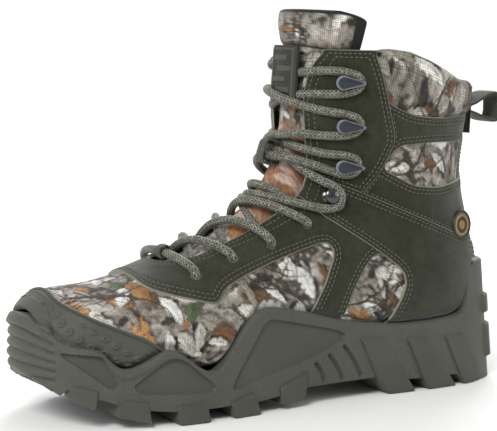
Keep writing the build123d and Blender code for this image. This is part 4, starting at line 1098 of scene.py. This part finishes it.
tint = tint * (1 - warm) + warm * (tint * 0.45
                                   + np.array((0.20, 0.085,
                                               0.038)) * (0.6 + 0.8 * soft_noise(flat_turn, along, 2.4, 33)[..., None]))
binding = np.maximum(eased(wrap, 0.885, 0.90),
                     np.maximum(eased(u[:, None] + 0 * wrap, 10.33, 10.35),
                                np.exp(-((front_z - TONGUE_SEAM) / 0.9) ** 2)))
binding = np.maximum(binding, thick < -0.2)[..., None]
tint = tint * (1 - binding) + np.array((0.012, 0.012, 0.012)) * binding
tongue = piece("tongue_cloth", tongue_points.reshape(-1, 3) * MM, grid_faces(len(u), TONGUE_RING, True),
               cloth,
               "camo_fabric", body=None, uv=np.c_[along.ravel(), flat_turn.ravel()] * MM,
               values={"print": tint.reshape(-1, 3)})
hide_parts("tongue", "tongue_top")
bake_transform(tongue)

# ---------------------------------------------------------------- label
# A moulded rubber label, 27 x 33 mm, sewn high on the tongue, with a raised frame and plain raised bars.
LABEL_AT, LABEL_OUT, LABEL_SIZE = np.array((-84.9, -2, 190.8)), np.array((-0.998, 0, 0.06)), (27.0, 33.0)
LABEL_BARS = [(-9, 6, -11.5, -8.0), (-5, 10, -5.2, -1.8), (-10, 4, 1.2, 4.6), (-6, 9, 7.6, 11.0)]

label_finish, tree, shader, places = finish_of("label_rubber", Roughness=0.55, Specular_IOR_Level=0.4)
raised = node(tree, "Attribute", attribute_name="edge").outputs["Fac"]
tree.links.new(mixed(tree, raised, (0.017, 0.018, 0.013, 1), (0.048, 0.050, 0.037, 1)),
               shader.inputs["Base Color"])
relief(tree, shader, noise(tree, places, 1200, 2, 0.6), 0.00015, 0.6)
p, q = np.meshgrid(np.linspace(-0.5, 0.5, 91), np.linspace(-0.5, 0.5, 111), indexing="ij")
p, q = p * LABEL_SIZE[0], q * LABEL_SIZE[1]
from_edge = np.minimum(LABEL_SIZE[0] / 2 - np.abs(p), LABEL_SIZE[1] / 2 - np.abs(q))
bars = eased(from_edge, 1.2, 1.5) * (1 - eased(from_edge, 2.6, 2.9))
for p_low, p_high, q_low, q_high in LABEL_BARS:
    bar = np.minimum(np.minimum(p - p_low, p_high - p), np.minimum(q - q_low, q_high - q))
    bars = np.maximum(bars, eased(bar, -0.1, 0.35))
height = 0.5 + 0.75 * bars - 0.6 * (1 - eased(from_edge, 0, 0.5))
label_up = np.array((0.06, 0, 0.998))
wrap = -0.010 * (p ** 2)
front = (LABEL_AT + p[..., None] * (0, 1, 0) + q[..., None] * label_up
         + (height + wrap)[..., None] * LABEL_OUT)
rear = front - (1.9 + height)[..., None] * LABEL_OUT
ends = [np.concatenate([s[:, 0], s[-1, 1:], s[-2::-1, -1], s[0, -2:0:-1]]) for s in (front, rear)]
label_points, label_faces = joined([(front.reshape(-1, 3), grid_faces(91, 111)),
                                    (rear.reshape(-1, 3), grid_faces(91, 111)[:, ::-1]),
                                    (np.concatenate(ends), grid_faces(2, len(ends[0]), True))])
label = piece("tongue_label_plate", label_points * MM, label_faces, label_finish, "label_rubber",
              values={"edge": np.concatenate([bars.ravel(), 0 * bars.ravel(), np.zeros(2 * len(ends[0]))])})
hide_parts("tongue_label")

# ---------------------------------------------------------------- webbing: lace keepers, pull loop and its tab
# Woven polyester webbing in dark olive. Two keepers hold the lace on the tongue and a 20 mm loop hangs from a tab
# sewn at the back of the collar.
webbing, tree, shader, places = finish_of("webbing", Roughness=0.8, Sheen_Weight=0.2, Specular_IOR_Level=0.2)
axes = node(tree, "SeparateXYZ", {0: node(tree, "UVMap").outputs[0]})
zigzag = maths(tree, "PINGPONG", axes.outputs[1], 0.0016)
ribs = maths(tree, "SINE", maths(tree, "MULTIPLY", maths(tree, "ADD", axes.outputs[0], zigzag), 5200.0))
height = maths(tree, "MULTIPLY_ADD", ribs, 0.5, 0.5)
# Painted shade: the webbing is near black in the valleys between ribs and olive on their crests.
tree.links.new(ramp(tree, height, (0.1, (0.009, 0.011, 0.005)), (0.8, (0.058, 0.064, 0.038))),
               shader.inputs["Base Color"])
relief(tree, shader, height, 0.00025, 0.8)


def strap(name, path, across, width, thickness, body="root", closed=False):
    """A flat strap along a path, its width along across."""
    path, across = np.asarray(path, float), np.asarray(across, float)
    if closed:
        path = np.concatenate([path, path[:1]])
    smooth = resampled(path, 0.7)
    if closed:
        smooth = smooth[:-1]
    ahead, behind = (np.roll(smooth, -1, 0), np.roll(smooth, 1, 0))
    if not closed:
        ahead[-1], behind[0] = smooth[-1], smooth[0]
    forward = ahead - behind
    forward /= np.linalg.norm(forward, axis=1)[:, None]
    out = np.cross(forward, across)
    turn = np.linspace(0, 2 * math.pi, 28, endpoint=False)
    wide = width / 2 * np.sign(np.cos(turn)) * np.abs(np.cos(turn)) ** 0.35
    thick = thickness / 2 * np.sign(np.sin(turn)) * np.abs(np.sin(turn)) ** 0.6
    points = smooth[:, None] + across * wide[None, :, None] + out[:, None] * thick[None, :, None]
    along = run_of(smooth)[:, None] + 0 * wide
    faces = grid_faces(len(smooth) + closed, len(turn), True) % (len(smooth) * len(turn))
    return piece(name, points.reshape(-1, 3) * MM, faces, webbing, "webbing", body=body,
                 uv=np.stack([along, wide + 0 * along], -1).reshape(-1, 2) * MM)


def ring_path(centre, first, second, size_a, size_b, power=0.5):
    """A rounded rectangular ring of points."""
    turn = np.linspace(0, 2 * math.pi, 64, endpoint=False)
    a = size_a / 2 * np.sign(np.cos(turn)) * np.abs(np.cos(turn)) ** power
    b = size_b / 2 * np.sign(np.sin(turn)) * np.abs(np.sin(turn)) ** power
    return np.asarray(centre) + a[:, None] * np.asarray(first) + b[:, None] * np.asarray(second)


high_keeper = strap("lace_keeper_high",
                    ring_path((-93, -2, 144.5), (-0.95, 0, 0.31), (0.31, 0, 0.95), 11.6, 14.4),
                    (0, 1, 0), 9, 1.1, closed=True)
low_keeper = strap("lace_keeper_low",
                   ring_path((-164.4, -5, 89.9), (-0.4, 0, 0.92), (0.92, 0, 0.4), 6.6, 6.8, 0.6),
                   (0, 1, 0), 8, 1.0, closed=True)
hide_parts("lace_keepers")
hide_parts("lace_keepers")
LOOP_PATH = [(43.6, 167.6), (46.5, 169.3), (50, 170.4), (56, 173.6), (61, 176), (65, 176.6), (68.2, 174.6),
             (69.2, 171),
             (69.2, 164.6), (68.2, 160.8), (65, 158.9), (61, 159.6), (56, 161.6), (50, 164), (46.5, 165.2),
             (43.6, 166.4)]
loop = strap("pull_loop_webbing", [(x, 0, z) for x, z in LOOP_PATH], (0, 1, 0), 20, 1.9, body=None)
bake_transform(loop)
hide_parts("pull_loop")
tab = strap("pull_loop_tab_webbing",
            [(np.interp(z, (150, 182), (43.6, 45.4)), 0, z) for z in (181, 176, 171, 166, 160, 155, 152)],
            (0, 1, 0), 22, 1.7)
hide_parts("pull_loop_tab")

# ---------------------------------------------------------------- hooks, rivets and badges
# Die-cast lacing hooks with navy enamelled teardrop caps and worn rims, three a side, and a glossy black locking hook
# below them, all riveted through the suede. A round moulded badge sits each side of the heel.
HOOKS = [((-56, 30.4, 137), (-0.37, 0.92, -0.12)), ((-57, 33.5, 161), (-0.41, 0.90, -0.12)),
         ((-58, 35.7, 186), (-0.49, 0.87, -0.05))]
ANKLE_BASE, ANKLE_NECK, ANKLE_WAY = (-63, 29.3, 115), (-67.6, 27.6, 118.6), (-0.2, 0.96, 0.19)
BADGE_AT, BADGE_WAY = (22, 33.4, 98), (0.33, 0.94, 0.05)


def enamel(name, dark, light, roughness, coat, metal=0.1):
    """Enamelled metal with lighter worn edges."""
    made, tree, shader, places = finish_of(name, Roughness=roughness, Metallic=metal, Coat_Weight=coat,
                                           Coat_Roughness=0.12)
    worn = node(tree, "Attribute", attribute_name="edge").outputs["Fac"]
    scuffs = noise(tree, places, 420, 5, 0.7)
    share = maths(tree, "MULTIPLY", worn, ramp(tree, scuffs, (0.2, 0.35), (0.6, 1)))
    tree.links.new(mixed(tree, share, (*dark, 1), (*light, 1)), shader.inputs["Base Color"])
    relief(tree, shader, scuffs, 0.00005, 0.4)
    return made


hook_finish = enamel("hook_enamel", (0.006, 0.008, 0.018), (0.16, 0.17, 0.20), 0.42, 0.15)
black_finish = enamel("hook_black", (0.004, 0.004, 0.005), (0.05, 0.05, 0.055), 0.2, 0.7)
steel_finish = enamel("rivet_steel", (0.42, 0.42, 0.41), (0.7, 0.7, 0.69), 0.28, 0.0, 1.0)
badge_finish = enamel("badge_rubber", (0.010, 0.010, 0.010), (0.30, 0.19, 0.05), 0.5, 0.0)


def turned(centre, way, profile, outline=None):
    """A solid round its axis from (radius, height, worn) rows, or over an outline scaled by the radii."""
    way = np.asarray(way, float) / np.linalg.norm(way)
    first = np.array((1.0, 0, 0)) - way * way[0]
    first /= np.linalg.norm(first)
    second = np.cross(way, first)
    turn = np.linspace(0, 2 * math.pi, 48, endpoint=False)
    shape = np.stack([np.cos(turn), np.sin(turn)], 1) if outline is None else outline
    rows = [np.asarray(centre) + (shape[:, :1] * first + shape[:, 1:] * second) * radius + way * height
            for radius, height, _ in profile]
    worn = np.repeat([row[2] for row in profile], len(shape))
    faces = grid_faces(len(rows), len(shape), True)
    return np.c_[np.concatenate(rows),
                 worn], faces if np.linalg.det([first, second, way]) > 0 else faces[:, ::-1]


def hardware(name, parts, finish, slot, *replaced):
    """Turned parts joined as one piece that replaces CAD nodes."""
    points, faces = joined(parts)
    made = piece(name, points[:, 0:3] * MM, faces, finish, slot, values={"edge": points[:, 3]})
    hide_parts(*replaced)


turn = np.linspace(0, 2 * math.pi, 72, endpoint=False)
hull = np.where((np.cos(turn) > 0.27)[:, None], np.stack([8 + 1.1 * np.cos(turn), 1.1 * np.sin(turn)], 1),
                np.stack([-4 + 4.3 * np.cos(turn), 4.3 * np.sin(turn)], 1))
teardrop = resampled(np.concatenate([hull, hull[:1]]), 0.45)[:-1]
CAP = [(0.86, 6.3, 0), (0.97, 6.5, 0.2), (1.0, 6.9, 0.8), (1.0, 7.4, 1), (0.96, 7.85, 1), (0.88, 8.05, 0.9),
       (0.80, 7.9, 0.1),
       (0.74, 7.8, 0), (0.5, 8.05, 0), (0.2, 8.2, 0), (0.01, 8.22, 0)]
BASE = [(4.6, 0.2, 0), (4.6, 1.2, 0.4), (4.2, 1.5, 0.6), (2.6, 1.7, 0), (1.95, 2.4, 0), (1.9, 6.4, 0)]
caps, ankles, rivets, badges = [], [], [], []
for side in (-1, 1):
    flip = np.array((1, side, 1))
    for centre, way in HOOKS:
        caps += [turned(centre * flip, way * flip, CAP, outline=teardrop),
                 turned(centre * flip, way * flip, BASE)]
    for centre, rows in ((ANKLE_BASE, [(5.0, 0.2, 0), (5.0, 1.9, 0.3), (4.5, 2.3, 0.5), (0.01, 2.35, 0)]),
                         (ANKLE_NECK, [(4.6, 0.2, 0), (4.6, 1.9, 0.3), (4.1, 2.3, 0.4), (2.2, 2.5, 0),
                                       (1.9, 3, 0), (1.9, 6.6, 0),
                                       (4.0, 6.8, 0), (4.4, 7.2, 0.3), (4.4, 8.1, 0.5), (3.9, 8.6, 0.5),
                                       (0.01, 8.9, 0)])):
        ankles.append(turned(np.array(centre) * flip, np.array(ANKLE_WAY) * flip, rows))
    rivets.append(turned(np.array(ANKLE_BASE) * flip, np.array(ANKLE_WAY) * flip,
                         [(2.9, 2.2, 0), (2.8, 3.1, 0.3), (2.3, 3.7, 0.6), (1.4, 4.0, 0.8), (0.7, 3.9, 0),
                          (0.01, 3.8, 0)]))
    badges.append(turned(np.array(BADGE_AT) * flip, np.array(BADGE_WAY) * flip,
                         [(9, 0.2, 0), (9, 1.6, 0), (8.6, 2.0, 0), (7.9, 2.0, 0), (7.5, 1.5, 0),
                          (6.4, 1.5, 0.9), (6.2, 1.9, 1),
                          (5.2, 1.9, 1), (5.0, 1.5, 0), (3.0, 1.5, 0), (2.7, 1.9, 0.8), (0.01, 2.1, 0.8)]))
hardware("lace_hook_castings", caps, hook_finish, "hook_metal", "lace_hooks")
hardware("ankle_hook_castings", ankles, black_finish, "hook_metal", "ankle_hooks")
hardware("ankle_rivets", rivets, steel_finish, "rivet_metal", "ankle_hooks")
hardware("heel_badges", badges, badge_finish, "badge_rubber", "ankle_badges")
dress(steel_finish, "rivet_metal", "hook_rivets")

# ---------------------------------------------------------------- inside: wadding, stiffeners, footbed and sole core
# White polyester wadding between panels and lining, a toe puff and heel counter of stiff sheet, a removable foam
# footbed, and the felt, board, steel shank and foam midsole below it.


def plain(name, low, high, scale, roughness, rise, **sockets):
    """A finish that wanders between two colours, with a fine relief."""
    made, tree, shader, places = finish_of(name, Roughness=roughness, **sockets)
    speckle = noise(tree, places, scale, 5, 0.65)
    tree.links.new(ramp(tree, speckle, (0.3, low), (0.7, high)), shader.inputs["Base Color"])
    relief(tree, shader, speckle, rise, 0.8)
    return made


# The wadding is white; it is set mid grey as painted shade, so that where it shows between panels it reads as shadow.
wadding = plain("insulation", (0.30, 0.30, 0.29), (0.46, 0.46, 0.44), 420, 0.95, 0.0008)
stiff = plain("stiffener", (0.10, 0.09, 0.075), (0.17, 0.155, 0.13), 300, 0.8, 0.0002)
footbed_foam = plain("foam", (0.018, 0.019, 0.020), (0.045, 0.046, 0.048), 600, 0.9, 0.0004)


def inner_sheet(name, box, step, lift, gap, finish, slot, *replaced, body="root"):
    """A sheet lift mm under the upper's surface over a range of u and t, kept where gap(points) holds."""
    data, triangles = patch(*box, step)
    data, triangles, _ = cut_panel(data, triangles, gap(data))
    made = piece(name, (data[:, 0:3] + data[:, 3:6] * lift) * MM, triangles, finish, slot, body=body)
    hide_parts(*replaced)
    return made


wad = inner_sheet("wadding", (0.5, 9.0, -math.pi, math.pi), 1.7, -6.2, lambda d: throat_gap(d) - 2, wadding,
                  "insulation",
                  "insulation_front", "insulation_lateral", "insulation_medial", "insulation_back")
inner_sheet("toe_puff_sheet", (0.1, 1.8, -2.4, 2.4), 1.5, -5.4, lambda d: above_rim(d) + 6, stiff,
            "stiffener", "toe_puff")
inner_sheet("heel_counter_sheet", (4.6, 7.4, 1.7, 2 * math.pi - 1.7), 1.5, -2.6, lambda d: 92 - d[:, 2],
            stiff, "stiffener",
            "heel_counter")
insole = inner_sheet("footbed_cover", (0.7, 5.4, 2.15, 2 * math.pi - 2.15), 1.5, -9.6,
                     lambda d: 60 - d[:, 2], footbed_foam,
                     "foam", "footbed", body="footbed")
dress(plain("midsole_foam", (0.16, 0.16, 0.15), (0.24, 0.24, 0.22), 500, 0.85, 0.0003), "foam", "midsole")
dress(plain("shank_steel", (0.35, 0.35, 0.36), (0.5, 0.5, 0.5), 200, 0.35, 0.0001, Metallic=1.0),
      "spring_steel", "shank")
board = plain("fibre_board", (0.20, 0.14, 0.08), (0.30, 0.22, 0.14), 350, 0.9, 0.0002)
felt = plain("felt", (0.12, 0.12, 0.12), (0.22, 0.22, 0.21), 700, 0.95, 0.0005)
inner_sheet("insole_board_sheet", (0.7, 5.5, 2.35, 2 * math.pi - 2.35), 1.5, -1.0, lambda d: 42 - d[:, 2],
            board,
            "fibre_board", "insole_board")
inner_sheet("felt_sheet", (0.7, 5.5, 2.3, 2 * math.pi - 2.3), 1.5, -5.5, lambda d: 42 - d[:, 2], felt,
            "felt", "thermal_felt")

# ---------------------------------------------------------------- stage
# A pale floor, a white glowing backdrop behind it, and four large soft lamps: a key from the toe side, a fill, a back
# light and a weak one from the heel.
floor_finish, *_ = finish_of("floor", Base_Color=(0.86, 0.86, 0.85), Roughness=0.8)
FLOOR_REACH = 4.0
ground = piece("floor", np.array([(-1, -1, 0), (1, -1, 0), (1, 1, 0), (-1, 1, 0)]) * FLOOR_REACH,
               [(0, 1, 2, 3)], floor_finish,
               "rubber", body=None)
glow, tree, shader, _ = finish_of("backdrop", Base_Color=(0, 0, 0), Emission_Color=(1, 1, 1),
                                  Emission_Strength=1.0)
aim = (CAMERA_AIM - CAMERA_AT).normalized()
sideways = np.array(aim.cross(Vector((0, 0, 1))).normalized())
middle = np.array(CAMERA_AIM) + np.array(aim) * 1.9
wall_points = np.array([middle + sideways * s * 3 + (0, 0, h) for s,
                        h in ((-1, -0.11), (1, -0.11), (1, 2.2), (-1, 2.2))])
backdrop = piece("backdrop", wall_points, [(0, 1, 2, 3)], glow, "rubber", body=None)
for stage_piece in (ground, backdrop):
    del stage_piece["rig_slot"]
for name, place, power, size, colour in (
        ("key", (-1.4, -1.2, 1.5), 40, 0.8, (1, 0.985, 0.96)),
        ("fill", (-1.8, 0.3, 0.8), 8, 1.2, (0.94, 0.97, 1)),
        ("back", (0.8, 1.3, 1.2), 24, 1.0, (1, 1, 1)), ("side", (1.2, -1.1, 0.7), 6, 0.9, (1, 1, 1))):
    lamp = bpy.data.objects.new(name, bpy.data.lights.new(name, "AREA"))
    bpy.context.scene.collection.objects.link(lamp)
    lamp.data.energy, lamp.data.size, lamp.data.color = power, size, colour
    lamp.location = place
    lamp.rotation_euler = (Vector((-0.1, 0, 0.1)) - lamp.location).to_track_quat("-Z", "Y").to_euler()
world = bpy.data.worlds.new("world")
bpy.context.scene.world = world
world.use_nodes = True
world.node_tree.nodes["Background"].inputs[0].default_value = (0.96, 0.98, 1, 1)
world.node_tree.nodes["Background"].inputs[1].default_value = 0.45
bpy.context.scene.view_settings.view_transform = "Standard"
